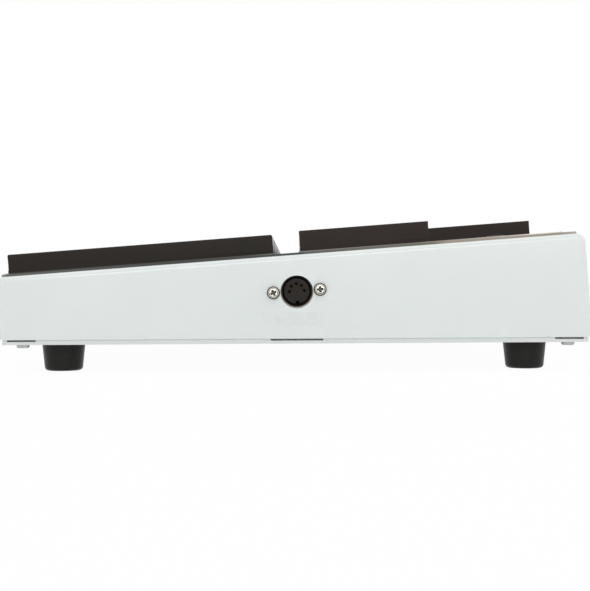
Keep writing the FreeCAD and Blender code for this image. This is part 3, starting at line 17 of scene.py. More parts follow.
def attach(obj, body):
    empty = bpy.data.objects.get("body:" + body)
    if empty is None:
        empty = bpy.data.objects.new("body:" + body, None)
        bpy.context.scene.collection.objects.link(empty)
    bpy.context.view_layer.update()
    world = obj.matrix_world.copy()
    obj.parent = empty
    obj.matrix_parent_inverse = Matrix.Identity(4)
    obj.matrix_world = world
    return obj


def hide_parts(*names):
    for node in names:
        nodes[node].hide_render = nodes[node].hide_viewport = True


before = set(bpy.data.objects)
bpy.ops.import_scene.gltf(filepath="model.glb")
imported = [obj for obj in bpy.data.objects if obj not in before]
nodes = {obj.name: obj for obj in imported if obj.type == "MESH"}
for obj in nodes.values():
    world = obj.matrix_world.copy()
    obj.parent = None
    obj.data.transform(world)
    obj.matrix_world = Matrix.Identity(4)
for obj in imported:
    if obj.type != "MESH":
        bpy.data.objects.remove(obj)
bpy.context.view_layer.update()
print("pieces in the frame:", len(nodes))

# %% [markdown]
# ## Measures
#
# The deck slopes down to the player by four degrees, and almost everything is square to it. So
# the lesson works in the deck's own frame: across, up the slope and square to the deck, from the
# middle of the deck's outer face. One function turns such a place into a world matrix in metres,
# and a finished piece is moved there once and then fixed, so that its place is in its mesh. Both
# rows of pads begin and end at fixed places up the slope, which the finishes need as well.

# %% The deck's frame
MM = 0.001
TILT = math.radians(4.0)
FOOT_HEIGHT = 13.7
PLATE_THICKNESS = 2.4
PLATE_TOP = FOOT_HEIGHT + PLATE_THICKNESS
CASE_HEIGHT = 39.75
RIGHT_END = 317.0
HALF_DEPTH = 141.1
NATURAL_FRONT, NATURAL_REAR = -136.3, -7.4
UPPER_FRONT, UPPER_REAR = 5.65, 130.45
AUXILIARY_REAR = 68.4


def on_deck(across, along, up, turn=None):
    """World matrix for a place on the deck in millimetres, with a turn in the deck's own frame."""
    rise = up + CASE_HEIGHT
    place = Vector((
        across,
        along * math.cos(TILT) - rise * math.sin(TILT),
        PLATE_TOP + along * math.sin(TILT) + rise * math.cos(TILT),
    )) * MM
    tilt = Matrix.Rotation(TILT, 4, "X")
    return Matrix.Translation(place) @ tilt @ (turn or Matrix.Identity(4))


print("middle of the deck, mm:", [round(c / MM, 2) for c in on_deck(0, 0, 0).translation])

# %% [markdown]
# ## Materials
#
# A material is a small network. `add_node` adds one node with its settings and wires. Colours are
# written as the hex values that a screen shows, and `tone` turns them into the linear values that
# light works with. Patterns read Object coordinates, which are metres here, so `per_metre` turns
# a real size in millimetres into a noise scale.

# %% Colours, scales and nodes
def tone(code):
    """Linear colour of an sRGB hex value."""
    parts = [int(code[i:i + 2], 16) / 255 for i in (1, 3, 5)]
    linear = [p / 12.92 if p <= 0.04045 else ((p + 0.055) / 1.055) ** 2.4 for p in parts]
    return (*linear, 1.0)


def per_metre(size):
    """Noise scale whose features are about a given size in millimetres."""
    return 1000.0 / size


def add_node(tree, kind, inputs=None, **settings):
    """Add a node. An input is a plain value, or another node's output to wire in."""
    node = tree.nodes.new(kind)
    for name, setting in settings.items():
        setattr(node, name, setting)
    for name, given in (inputs or {}).items():
        if isinstance(given, bpy.types.NodeSocket):
            tree.links.new(given, node.inputs[name])
        else:
            node.inputs[name].default_value = given
    return node


def new_material(name, **shader):
    """A material with one Principled shader and the object's own coordinates."""
    material = bpy.data.materials.new(name)
    material.use_nodes = True
    tree = material.node_tree
    tree.nodes.clear()
    surface = add_node(tree, "ShaderNodeBsdfPrincipled", shader)
    output = add_node(tree, "ShaderNodeOutputMaterial")
    tree.links.new(surface.outputs["BSDF"], output.inputs["Surface"])
    place = add_node(tree, "ShaderNodeTexCoord").outputs["Object"]
    return material, tree, surface, place


print("a screen's middle grey in linear light:", round(tone("#808080")[0], 3))

# %% [markdown]
# No real surface has one flat value. Its colour drifts, it has a fine grain, and handling makes its
# gloss uneven. Painted pictures could hold all this, but noise has no seams and costs nothing to
# store, so three small functions each add one of these habits to a material.

# %% Mottle, grain and uneven gloss
def mottle(tree, surface, place, dark, light, size, contrast=0.25):
    """Let the colour drift between two tones, in patches of a given size."""
    noise = add_node(tree, "ShaderNodeTexNoise", {
        "Vector": place, "Scale": per_metre(size), "Detail": 4.0, "Roughness": 0.6,
    })
    ramp = add_node(tree, "ShaderNodeValToRGB", {"Fac": noise.outputs["Fac"]})
    ramp.color_ramp.elements[0].position = 0.5 - contrast
    ramp.color_ramp.elements[0].color = tone(dark)
    ramp.color_ramp.elements[1].position = 0.5 + contrast
    ramp.color_ramp.elements[1].color = tone(light)
    tree.links.new(ramp.outputs["Color"], surface.inputs["Base Color"])
    return ramp


def grain(tree, surface, place, size, depth, detail=2.0):
    """Raise a fine grain: its size and its depth are in millimetres."""
    noise = add_node(tree, "ShaderNodeTexNoise", {
        "Vector": place, "Scale": per_metre(size), "Detail": detail, "Roughness": 0.55,
    })
    bump = add_node(tree, "ShaderNodeBump", {
        "Height": noise.outputs["Fac"], "Distance": depth * MM, "Strength": 1.0,
    })
    tree.links.new(bump.outputs["Normal"], surface.inputs["Normal"])


def uneven_gloss(tree, surface, place, smooth, rough, size):
    """Let the roughness drift, as handling and dust make it do."""
    noise = add_node(tree, "ShaderNodeTexNoise", {
        "Vector": place, "Scale": per_metre(size), "Detail": 3.0, "Roughness": 0.5,
    })
    spread = add_node(tree, "ShaderNodeMapRange", {
        "Value": noise.outputs["Fac"], "From Min": 0.3, "From Max": 0.7,
        "To Min": smooth, "To Max": rough,
    })
    tree.links.new(spread.outputs["Result"], surface.inputs["Roughness"])


print("noise scale of a grain 1 mm across:", per_metre(1.0))

# %% Dressing a CAD piece
def dress(material, *names):
    """Give a finish to CAD pieces whose shape is right already."""
    for name in names:
        for slot in nodes[name].material_slots:
            slot.material = material
    print(material.name, "on", ", ".join(names))


print("pieces to dress or model again:", len(nodes))

# %% [markdown]
# ### Powder-coated steel
#
# The cover is folded from sheet steel and powder coated in white. Baked powder flows almost
# smooth but keeps a slight orange peel, about a millimetre across and a few microns deep, which
# breaks up reflections without hiding them. An even white would look like paper, so the peel is a
# fine bump, and both the tone and the gloss drift a little. The plate underneath has the same coat,
# drawn a little greyer as painted shade, since its edge sits in under the cover.

# %% Powder coat
cover_white, tree, surface, place = new_material("powder_coat_white", IOR=1.5)
mottle(tree, surface, place, "#dfe5e3", "#e5eae8", 60.0)
grain(tree, surface, place, 1.2, 0.004)
uneven_gloss(tree, surface, place, 0.13, 0.19, 35.0)
dress(cover_white, "top_cover")

# The same white coat, drawn a little greyer: painted shade under the cover's edge.
plate_white_shaded, tree, surface, place = new_material("powder_coat_white_shaded", IOR=1.5)
mottle(tree, surface, place, "#dbdfde", "#e0e4e3", 45.0)
grain(tree, surface, place, 1.2, 0.008)
uneven_gloss(tree, surface, place, 0.36, 0.45, 30.0)
dress(plate_white_shaded, "bottom_plate")

# %% [markdown]
# ### Foam rubber
#
# The pads are cut from dense black-brown foam rubber. Its skin is matt, with a fine pebble of
# closed cells under half a millimetre across and slow patches where the mix came out lighter, and
# the die leaves the front and rear ends smoother. A photograph of foam would show seams, and noise
# has none. The real grain is finer than the picture can show, so it is drawn about twice as coarse.
# The rear row comes from a sheet that is a touch browner. The feet are moulded in a harder black
# rubber with a smoother face.

# %% Rubber
PEBBLE = 0.7
SKIN_ROUGHNESS, CUT_ROUGHNESS = 0.6, 0.2


def foam_rubber(name, dark, light):
    """Foam rubber whose cut ends are smoother than its skin."""
    material, tree, surface, place = new_material(name, **{"IOR": 1.5, "Specular IOR Level": 0.15})
    mottle(tree, surface, place, dark, light, 16.0)
    grain(tree, surface, place, PEBBLE, 0.06, 4.0)
    local = add_node(tree, "ShaderNodeTexCoord")
    normal = add_node(tree, "ShaderNodeSeparateXYZ", {"Vector": local.outputs["Normal"]})
    endwise = add_node(tree, "ShaderNodeMath", {0: normal.outputs["Y"]}, operation="ABSOLUTE")
    cut = add_node(tree, "ShaderNodeMapRange", {
        "Value": endwise.outputs[0], "From Min": 0.97, "From Max": 0.995,
        "To Min": SKIN_ROUGHNESS, "To Max": CUT_ROUGHNESS,
    })
    tree.links.new(cut.outputs["Result"], surface.inputs["Roughness"])
    return material


natural_rubber = foam_rubber("foam_rubber_black", "#262320", "#2b2522")
upper_rubber = foam_rubber("foam_rubber_black_brown", "#2b2522", "#332a27")
print("pads: grain", PEBBLE, "mm, roughness", SKIN_ROUGHNESS, "and", CUT_ROUGHNESS, "where cut")

foot_rubber, tree, surface, place = new_material(
    "moulded_rubber_black", **{"IOR": 1.5, "Specular IOR Level": 0.2}
)
mottle(tree, surface, place, "#161715", "#1d1d1b", 5.0)
grain(tree, surface, place, 0.5, 0.03, 3.0)
uneven_gloss(tree, surface, place, 0.3, 0.4, 6.0)
dress(foot_rubber, "foot_front_left", "foot_front_right", "foot_rear_left", "foot_rear_right")

# %% [markdown]
# ### Overlay sheet
#
# A thin sheet of smoky plastic lies on the deck, with a paler layer under each row of pads. From
# above each layer has one tone, textured like fine leather. The cut edge lets light through, so
# its tone depends on what lies above: it is dark beside the pads, which shade it, and pale where
# the sheet is free. Light that really passes through the sheet is slow to render, so two ramps
# stand for it, one for each layer. They follow the depth of the instrument and change where a row
# of pads begins or ends.

# %% Tones of the overlay's edge
overlay_plastic, tree, surface, place = new_material(
    "polycarbonate_smoky", **{"IOR": 1.585, "Roughness": 0.42, "Specular IOR Level": 0.2}
)
SHEET_EDGE = {
    -139.8: "#adaeab", NATURAL_FRONT - 1: "#92938f", NATURAL_FRONT + 2: "#62635f",
    -60.0: "#3c3d3a", NATURAL_REAR: "#3f403c",
    UPPER_FRONT: "#3c4843", UPPER_FRONT + 3: "#5a5953", AUXILIARY_REAR: "#6d6a63",
    AUXILIARY_REAR + 8: "#9f9488", UPPER_REAR: "#9a9187", 141.0: "#bdb9b3",
}
ROW_EDGE = {
    NATURAL_FRONT: "#eef0ee", NATURAL_FRONT + 3: "#43433f", -20.0: "#43433f",
    NATURAL_REAR: "#68736d", UPPER_FRONT: "#868f8a", UPPER_FRONT + 3: "#85837c",
    AUXILIARY_REAR - 10: "#76736c", AUXILIARY_REAR + 8: "#a99f94", 110.0: "#dbd6ce",
    116.0: "#fafaf7",
}
ROW_LAYER = 1.0
local = add_node(tree, "ShaderNodeTexCoord")
normal = add_node(tree, "ShaderNodeSeparateXYZ", {"Vector": local.outputs["Normal"]})
cut_edge = add_node(tree, "ShaderNodeMath", {0: normal.outputs["X"]}, operation="ABSOLUTE")
point = add_node(tree, "ShaderNodeSeparateXYZ", {"Vector": place})
depth = add_node(tree, "ShaderNodeMapRange", {
    "Value": point.outputs["Y"], "From Min": -HALF_DEPTH * MM, "From Max": HALF_DEPTH * MM,
})


def tones_along(tones):
    """A ramp over the depth of the instrument, from places up the slope to hex tones."""
    ramp = add_node(tree, "ShaderNodeValToRGB", {"Fac": depth.outputs["Result"]})
    stops = ramp.color_ramp.elements
    for index, (along, code) in enumerate(tones.items()):
        at = on_deck(0, along, 1).translation.y / MM / HALF_DEPTH / 2 + 0.5
        stop = stops[index] if index < 2 else stops.new(at)
        stop.position = min(max(at, 0.0), 1.0)
        stop.color = tone(code)
    return ramp.outputs["Color"]


print("tones along the sheet's edge:", len(SHEET_EDGE), "and along the rows:", len(ROW_EDGE))

# %% Overlay plastic
sloping = add_node(tree, "ShaderNodeMath", {
    0: point.outputs["Y"], 1: -math.tan(TILT), 2: point.outputs["Z"],
}, operation="MULTIPLY_ADD")
row_layer = add_node(tree, "ShaderNodeMath", {
    0: sloping.outputs[0], 1: (PLATE_TOP + (CASE_HEIGHT + ROW_LAYER) / math.cos(TILT)) * MM,
}, operation="GREATER_THAN")
edge = add_node(tree, "ShaderNodeMix", {
    "Factor": row_layer.outputs[0], "A": tones_along(SHEET_EDGE), "B": tones_along(ROW_EDGE),
}, data_type="RGBA")
upper_face = add_node(tree, "ShaderNodeMix", {
    "Factor": row_layer.outputs[0], "A": tone("#857c72"), "B": tone("#b3aea4"),
}, data_type="RGBA")
skin = add_node(tree, "ShaderNodeMix", {
    "Factor": cut_edge.outputs[0], "A": upper_face.outputs["Result"], "B": edge.outputs["Result"],
}, data_type="RGBA")
tree.links.new(skin.outputs["Result"], surface.inputs["Base Color"])
grain(tree, surface, place, 0.9, 0.03, 3.0)
dress(overlay_plastic, "overlay_sheet")

# %% [markdown]
# ### Plated metals
#
# Screws and nuts are steel with a thin coat: zinc under and inside the case, nickel at the socket
# and on the jacks. The socket's own frame is a satin nickel, drawn much darker than the nickel as
# painted shade. A plated screw isn't a mirror, because the plating follows the drawn wire and the
# stamped head below it. The drawing lines are finer than the picture shows, so a low bump of a
# third of a millimetre stands for them. Shade is painted into a screw's cross and round its rim:
# those faces carry a painted shade value that darkens the nickel. The socket's contacts are brass,
# drawn near black as painted shade, since they sit deep in the insert's holes.

# %% Plated steel and brass
nickel, tree, surface, place = new_material("nickel_plated_steel", Metallic=1.0)
ramp = mottle(tree, surface, place, "#c9c6bc", "#dddad1", 1.5)
grain(tree, surface, place, 0.3, 0.004)
uneven_gloss(tree, surface, place, 0.2, 0.34, 1.2)
# Painted shade: a screw's faces in the cross and round the rim carry a value that darkens the
# nickel.
painted_shade = add_node(tree, "ShaderNodeAttribute", attribute_name="painted_shade")
shaded_nickel = add_node(tree, "ShaderNodeMix", {
    "Factor": painted_shade.outputs["Fac"], "A": ramp.outputs["Color"], "B": tone("#2b2a22"),
}, data_type="RGBA")
tree.links.new(shaded_nickel.outputs["Result"], surface.inputs["Base Color"])

zinc, tree, surface, place = new_material("zinc_plated_steel", Metallic=1.0)
mottle(tree, surface, place, "#a4a6a6", "#c3c5c3", 2.0)
grain(tree, surface, place, 0.4, 0.006)
uneven_gloss(tree, surface, place, 0.30, 0.46, 1.8)
dress(zinc, "board_standoffs", "board_screws")
dress(nickel, "midi_socket_nuts")

# Satin nickel for the socket's frame, drawn much darker than the nickel: painted shade.
nickel_satin_shaded, tree, surface, place = new_material("nickel_plated_steel_satin_shaded", Metallic=1.0)
mottle(tree, surface, place, "#8f8b84", "#9d9992", 1.5)
grain(tree, surface, place, 0.3, 0.004)
uneven_gloss(tree, surface, place, 0.42, 0.55, 1.5)
dress(nickel_satin_shaded, "midi_socket_frame")

# The contacts are drawn near black: painted shade, since they sit deep in the insert's holes.
brass, tree, surface, place = new_material("brass_contacts_shaded", Metallic=1.0)
mottle(tree, surface, place, "#1f1a12", "#2d2518", 1.0)
uneven_gloss(tree, surface, place, 0.4, 0.55, 0.8)
dress(brass, "midi_socket_contacts")

# %% [markdown]
# ### Moulded plastics
#
# The socket's insert is moulded in dark brown-black PBT, which is matt from its glass filling.
# The jacks, the inlet and the small switches are plain black nylon, the buttons a matt grey ABS,
# and the sockets of the sensor tails a cream nylon. Most of them come out of a spark-eroded mould,
# whose fine pits give the plastic a soft sheen, so their grain is a few tenths of a millimetre. The
# power switch is ABS from a polished mould, so it has only a faint waviness and a higher gloss.

# %% Moulded plastics
insert_pbt, tree, surface, place = new_material(
    "pbt_brown_black", **{"IOR": 1.55, "Specular IOR Level": 0.12}
)
mottle(tree, surface, place, "#1b1713", "#26211d", 1.6)
grain(tree, surface, place, 0.25, 0.012, 3.0)
uneven_gloss(tree, surface, place, 0.42, 0.58, 1.5)
dress(insert_pbt, "midi_socket_insert")

nylon_black, tree, surface, place = new_material("nylon_black", IOR=1.53)
mottle(tree, surface, place, "#191918", "#222221", 4.0)
grain(tree, surface, place, 0.4, 0.01, 3.0)
uneven_gloss(tree, surface, place, 0.38, 0.5, 3.0)
dress(nylon_black, "pedal_jacks", "power_inlet", "button_switches")

abs_gloss, tree, surface, place = new_material("abs_black_gloss", IOR=1.54)
mottle(tree, surface, place, "#161616", "#1d1d1c", 5.0)
grain(tree, surface, place, 1.5, 0.004)
uneven_gloss(tree, surface, place, 0.18, 0.28, 4.0)
dress(abs_gloss, "power_switch_body", "power_switch_rocker")

button_grey, tree, surface, place = new_material("abs_dark_grey_matt", IOR=1.54)
mottle(tree, surface, place, "#34342f", "#3d3d38", 3.0)
grain(tree, surface, place, 0.3, 0.012, 3.0)
uneven_gloss(tree, surface, place, 0.45, 0.58, 2.5)
dress(button_grey, "button_minus", "button_plus")

connector_cream, tree, surface, place = new_material("nylon_cream", IOR=1.53)
mottle(tree, surface, place, "#ddd6c0", "#e8e2cf", 4.0)
uneven_gloss(tree, surface, place, 0.4, 0.5, 3.0)
dress(connector_cream, "tail_sockets")

# %% [markdown]
# ### Inside the case
#
# Nobody sees the board while the case is closed, but it is there, so it gets its real finishes:
# green solder mask over glass laminate, black epoxy chips, amber polyester film for the sensor
# strips with printed silver tracks, and a black PVC jacket on the lead. The laminate's weave is a
# brick pattern and the tracks are a wave, because both repeat as evenly as the real ones do.

# %% Board, chips, film and lead
solder_mask, tree, surface, place = new_material("solder_mask_green", IOR=1.5)
mottle(tree, surface, place, "#1d5a35", "#256b41", 12.0)
weave = add_node(tree, "ShaderNodeTexBrick", {
    "Vector": place, "Scale": per_metre(2.5), "Mortar Size": 0.08,
})
bump = add_node(tree, "ShaderNodeBump", {"Height": weave.outputs["Fac"], "Distance": 0.00003})
tree.links.new(bump.outputs["Normal"], surface.inputs["Normal"])
uneven_gloss(tree, surface, place, 0.22, 0.34, 8.0)
dress(solder_mask, "main_board")

epoxy, tree, surface, place = new_material("epoxy_black", IOR=1.55)
mottle(tree, surface, place, "#171717", "#202020", 3.0)
grain(tree, surface, place, 0.3, 0.01, 3.0)
uneven_gloss(tree, surface, place, 0.5, 0.62, 2.0)
dress(epoxy, "processor_chip", "input_chips")

sensor_film, tree, surface, place = new_material(
    "polyester_film_amber", **{"IOR": 1.57, "Roughness": 0.3}
)
tracks = add_node(tree, "ShaderNodeTexWave", {
    "Vector": place, "Scale": per_metre(12.0), "Distortion": 0.0,
})
ink = add_node(tree, "ShaderNodeValToRGB", {"Fac": tracks.outputs["Fac"]})
ink.color_ramp.elements[0].position = 0.62
ink.color_ramp.elements[0].color = tone("#a3722e")
ink.color_ramp.elements[1].position = 0.68
ink.color_ramp.elements[1].color = tone("#b9b4a8")
tree.links.new(ink.outputs["Color"], surface.inputs["Base Color"])
dress(sensor_film, "sensor_strip_naturals", "sensor_strip_accidentals")

pvc_black, tree, surface, place = new_material("pvc_jacket_black", IOR=1.53)
mottle(tree, surface, place, "#1c1c1c", "#262625", 3.0)
uneven_gloss(tree, surface, place, 0.35, 0.48, 4.0)
dress(pvc_black, "midi_socket_lead")

# %% [markdown]
# ### Label tape and display window
#
# The strip under the socket is clear polyester tape. Over white paint it shows only as a slightly
# greyer, shinier rectangle, so it is drawn as a satin film in a tone near the paint's. The display
# sits behind a dark red acrylic pane, as on most red digit displays: the pane hides the unlit
# digits until they glow.

# %% Tape, pane and display face
tape_film, tree, surface, place = new_material("polyester_tape_clear", IOR=1.57)
mottle(tree, surface, place, "#dadedd", "#dce0df", 6.0)
grain(tree, surface, place, 9.0, 0.005)
uneven_gloss(tree, surface, place, 0.24, 0.3, 12.0)
dress(tape_film, "label_tape")

acrylic_red, tree, surface, place = new_material(
    "acrylic_dark_red", **{"IOR": 1.49, "Transmission Weight": 0.75, "Roughness": 0.06}
)
mottle(tree, surface, place, "#7c1712", "#8c1e17", 9.0)
grain(tree, surface, place, 6.0, 0.003)
dress(acrylic_red, "display_window")

display_face, tree, surface, place = new_material("display_face_black", IOR=1.5)
mottle(tree, surface, place, "#181313", "#221919", 5.0)
uneven_gloss(tree, surface, place, 0.3, 0.42, 4.0)
dress(display_face, "led_display")

digit_red, tree, surface, place = new_material("epoxy_segment_milky_red", IOR=1.5)
mottle(tree, surface, place, "#c07a72", "#d08c84", 1.0)
uneven_gloss(tree, surface, place, 0.3, 0.4, 1.0)

print_white, tree, surface, place = new_material("pad_print_white", IOR=1.5)
mottle(tree, surface, place, "#d2d2cc", "#e0e0da", 0.6)
uneven_gloss(tree, surface, place, 0.5, 0.6, 1.0)

# %% [markdown]
# ## Modelling by hand, in code
#
# Every new piece starts as a primitive and is shaped with the same tools that a modeller uses in
# edit mode. Those tools work on what is selected, so small helpers pick vertices, edges or faces
# by their place. Two places closer than NEAR count as one, and a face whose normal is past FACING
# looks along an axis. Millimetres are easier to read than metres, so a piece is shaped at a
# thousand times its size around the origin.

# %% Selecting
NEAR = 0.01
FACING = 0.99


def only(piece):
    """Select one object and make it the active one."""
    bpy.ops.object.select_all(action="DESELECT")
    piece.select_set(True)
    bpy.context.view_layer.objects.active = piece


def start(name, primitive, **settings):
    """Add a primitive in millimetres and give it a name."""
    bpy.ops.object.select_all(action="DESELECT")
    primitive(**settings)
    piece = bpy.context.object
    piece.name = name
    piece.data.name = name
    return piece


def pick(piece, kind, test):
    """Enter edit mode with only the vertices, edges or faces selected that pass the test."""
    only(piece)
    bpy.ops.object.mode_set(mode="EDIT")
    bpy.ops.mesh.select_mode(type={"verts": "VERT", "edges": "EDGE", "faces": "FACE"}[kind])
    bpy.ops.mesh.select_all(action="DESELECT")
    bpy.ops.object.mode_set(mode="OBJECT")
    mesh = piece.data
    items = {"verts": mesh.vertices, "edges": mesh.edges, "faces": mesh.polygons}[kind]
    chosen = 0
    for item in items:
        if kind == "verts":
            found = test(item.co)
        elif kind == "edges":
            a, b = (mesh.vertices[i].co for i in item.vertices)
            found = test(a, b)
        else:
            found = test(item.center, item.normal)
        item.select = bool(found)
        chosen += bool(found)
    bpy.ops.object.mode_set(mode="EDIT")
    return chosen


def done():
    """Leave edit mode."""
    bpy.ops.object.mode_set(mode="OBJECT")


print("pieces are shaped at", round(1 / MM), "times their size")

# %% [markdown]
# ## The playing pads
#
# A pad is a slab that a die has cut out of foam rubber. The die squeezes the foam, so the cut
# ends spring back slightly hollow, and the upper edges are broken by a small radius. The face is
# crowned by a hair, since the skin is tighter at its rim. A plain box shows none of this, so one
# pad of each kind is modelled here: the box is cut across at three heights, the middle cuts of
# both ends are pulled in, the face is inset and lifted, and a bevel rounds the edges.

# %% Model one pad of each kind
CROWN = 0.12
CROWN_MARGIN = 3.0
HOLLOW = 0.1
CUTS = (0.25, 0.5, 0.75)
SHARP_BELOW = 0.9


def model_pad(name, width, length, height, edge):
    """A pad in millimetres: its underside on Z = 0 and its front end on Y = 0."""
    pad = start(name, bpy.ops.mesh.primitive_cube_add, size=1.0, location=(0, 0, 0))
    pad.data.transform(Matrix.Translation((0, length / 2, height / 2))
                       @ Matrix.Diagonal((width, length, height - CROWN, 1)))
    for share in CUTS:
        pick(pad, "faces", lambda centre, normal: True)
        bpy.ops.mesh.bisect(plane_co=(0, 0, height * share), plane_no=(0, 0, 1))
        done()
    for end, inward in ((0.0, 1.0), (length, -1.0)):
        for share in CUTS:
            depth = HOLLOW * (1 - (2 * share - 1) ** 2)
            pick(pad, "verts", lambda co: (
                abs(co.y - end) < 0.5 and abs(co.z - height * share) < NEAR
            ))
            bpy.ops.transform.translate(value=(0, inward * depth, 0))
            done()
    top = height - CROWN / 2
    pick(pad, "edges", lambda a, b: (
        (abs(a.z - top) < NEAR and abs(b.z - top) < NEAR)
        or (abs(a.x - b.x) < NEAR and abs(a.y - b.y) < 0.2 and abs(a.z - b.z) > 0.5
            and min(a.z, b.z) > SHARP_BELOW)
    ))
    bpy.ops.mesh.bevel(offset=edge, segments=4, profile=0.5)
    done()
    pick(pad, "faces", lambda centre, normal: normal.z > FACING)
    bpy.ops.mesh.inset(thickness=CROWN_MARGIN, depth=CROWN / 2)
    done()
    return pad


PAD_GAP = 3.0
PAD_WIDTH = 38.0
natural_pad = model_pad(
    "natural_pad_master", width=PAD_WIDTH, length=NATURAL_REAR - NATURAL_FRONT, height=9.85,
    edge=0.8,
)
accidental_pad = model_pad(
    "accidental_pad_master", width=34.5, length=UPPER_REAR - UPPER_FRONT, height=10.45, edge=0.4
)
auxiliary_pad = model_pad(
    "auxiliary_pad_master", width=PAD_WIDTH, length=AUXILIARY_REAR - UPPER_FRONT, height=10.7,
    edge=0.4,
)
print("faces in one pad:", len(natural_pad.data.polygons))

# %% [markdown]
# ## Laying out the pads
#
# The front row has fifteen naturals, from F to F over two octaves, at the pitch of a vibraphone's
# bars. The rear row follows a piano: each accidental is centred over the gap between two
# naturals, in groups of three and two, and a short extra pad ends the row. An array would be
# quicker, but every pad gives a little when it is struck, so each is a copy that replaces its CAD
# solid and rides on that pad's own body. `finish_piece` shrinks a piece to metres and puts it in
# its place.

# %% Finishing and copying
def finish_piece(piece, matrix, body, material, smooth=35):
    """Shrink a piece from millimetres, put it in place for good and hang it on its body."""
    only(piece)
    bpy.ops.object.mode_set(mode="EDIT")
    bpy.ops.mesh.select_all(action="SELECT")
    bpy.ops.mesh.remove_doubles(threshold=0.001)
    bpy.ops.mesh.normals_make_consistent(inside=False)
    bpy.ops.object.mode_set(mode="OBJECT")
    piece.data.transform(matrix @ Matrix.Scale(MM, 4))
    piece.location = (0, 0, 0)
    bpy.ops.object.shade_smooth_by_angle(angle=math.radians(smooth))
    piece.data.materials.clear()
    piece.data.materials.append(material)
    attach(piece, body)
    return piece


def copy_of(piece, name):
    """A copy with a mesh of its own."""
    twin = piece.copy()
    twin.data = piece.data.copy()
    twin.name = name
    twin.data.name = name
    bpy.context.scene.collection.objects.link(twin)
    return twin


print("pads to copy:", natural_pad.name, accidental_pad.name, auxiliary_pad.name)

# %% Place the pads
PITCH = PAD_WIDTH + PAD_GAP
PAD_UNDERSIDE = 1.1
NATURAL_NOTES = "f3 g3 a3 b3 c4 d4 e4 f4 g4 a4 b4 c5 d5 e5 f5".split()
ACCIDENTAL_NOTES = {
    "f_sharp3": 0, "g_sharp3": 1, "a_sharp3": 2, "c_sharp4": 4, "d_sharp4": 5,
    "f_sharp4": 7, "g_sharp4": 8, "a_sharp4": 9, "c_sharp5": 11, "d_sharp5": 12,
}
FIRST_NATURAL = -PITCH * (len(NATURAL_NOTES) - 1) / 2


def place_pad(master, node, across, front, rubber):
    """Copy a pad over its CAD solid."""
    pad = copy_of(master, f"{node}_rubber")
    finish_piece(pad, on_deck(across, front, PAD_UNDERSIDE), node, rubber)
    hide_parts(node)


for index, note in enumerate(NATURAL_NOTES):
    across = FIRST_NATURAL + index * PITCH
    place_pad(natural_pad, f"pad_{note}", across, NATURAL_FRONT, natural_rubber)
for note, index in ACCIDENTAL_NOTES.items():
    across = FIRST_NATURAL + (index + 0.5) * PITCH
    place_pad(accidental_pad, f"pad_{note}", across, UPPER_FRONT, upper_rubber)
place_pad(auxiliary_pad, "pad_auxiliary", -FIRST_NATURAL, UPPER_FRONT, upper_rubber)
for master in (natural_pad, accidental_pad, auxiliary_pad):
    bpy.data.objects.remove(master)
print("pads placed:", len(NATURAL_NOTES) + len(ACCIDENTAL_NOTES) + 1)

# %% [markdown]
# ## Screws
#
# A pan-head screw has a flat seat, a domed head and a cross recess whose walls taper inwards. The
# head starts as a cylinder whose top edge is bevelled to a dome, and the shank is drawn out of its
# underside. The recess could be a bump, but a real hole holds its shadow from every side, so it is
# cut by a cross: a box whose side faces are pushed out and whose bottom is drawn in. The screws at
# the socket show well in the picture, and those underneath are the same model at their own sizes.

# %% Model the cross recess
ARM = 0.4
RECESS = 0.6
RECESS_TAPER = 0.55
OVERSHOOT = 1.0
SOCKET_CROSS = 3.8


def carve(piece, cutter, operation="DIFFERENCE"):
    """Cut one mesh with another for good and delete the cutter."""
    only(piece)
    modifier = piece.modifiers.new("Boolean", "BOOLEAN")
    modifier.operation = operation
    modifier.object = cutter
    modifier.solver = "EXACT"
    bpy.ops.object.modifier_apply(modifier=modifier.name)
    bpy.data.objects.remove(cutter)


def model_cross(cross, head_height):
    """The shape that a cross recess leaves out: four arms that taper towards the bottom."""
    arm = cross * ARM
    depth = head_height * RECESS
    cutter = start("cross_cutter", bpy.ops.mesh.primitive_cube_add, size=1.0, location=(0, 0, 0))
    cutter.data.transform(
        Matrix.Translation((0, 0, head_height - depth / 2 + OVERSHOOT / 2))
        @ Matrix.Diagonal((arm, arm, depth + OVERSHOOT, 1))
    )
    for axis in (0, 1):
        for side in (-1, 1):
            step = [0.0, 0.0, 0.0]
            step[axis] = side * (cross - arm) / 2
            pick(cutter, "faces", lambda centre, normal: (
                normal[axis] * side > FACING and abs(centre[axis]) < arm
                and abs(centre[1 - axis]) < NEAR
            ))
            bpy.ops.mesh.extrude_region_move(TRANSFORM_OT_translate={"value": step})
            done()
    bottom = min(v.co.z for v in cutter.data.vertices)
    pick(cutter, "verts", lambda co: co.z < bottom + NEAR)
    bpy.ops.transform.resize(
        value=(RECESS_TAPER, RECESS_TAPER, 1.0), center_override=(0, 0, bottom)
    )
    done()
    return cutter


print("arms of the socket screws' cross, mm:", round(SOCKET_CROSS * ARM, 2))

# %% Model a screw
DOME = 0.62
RIM = 0.84
TIP = 0.25
CROSS_REACH = 0.55
# How much shade is painted into the cross and round the rim.
SHADE_IN_RECESS, SHADE_AT_RIM = 0.95, 0.9


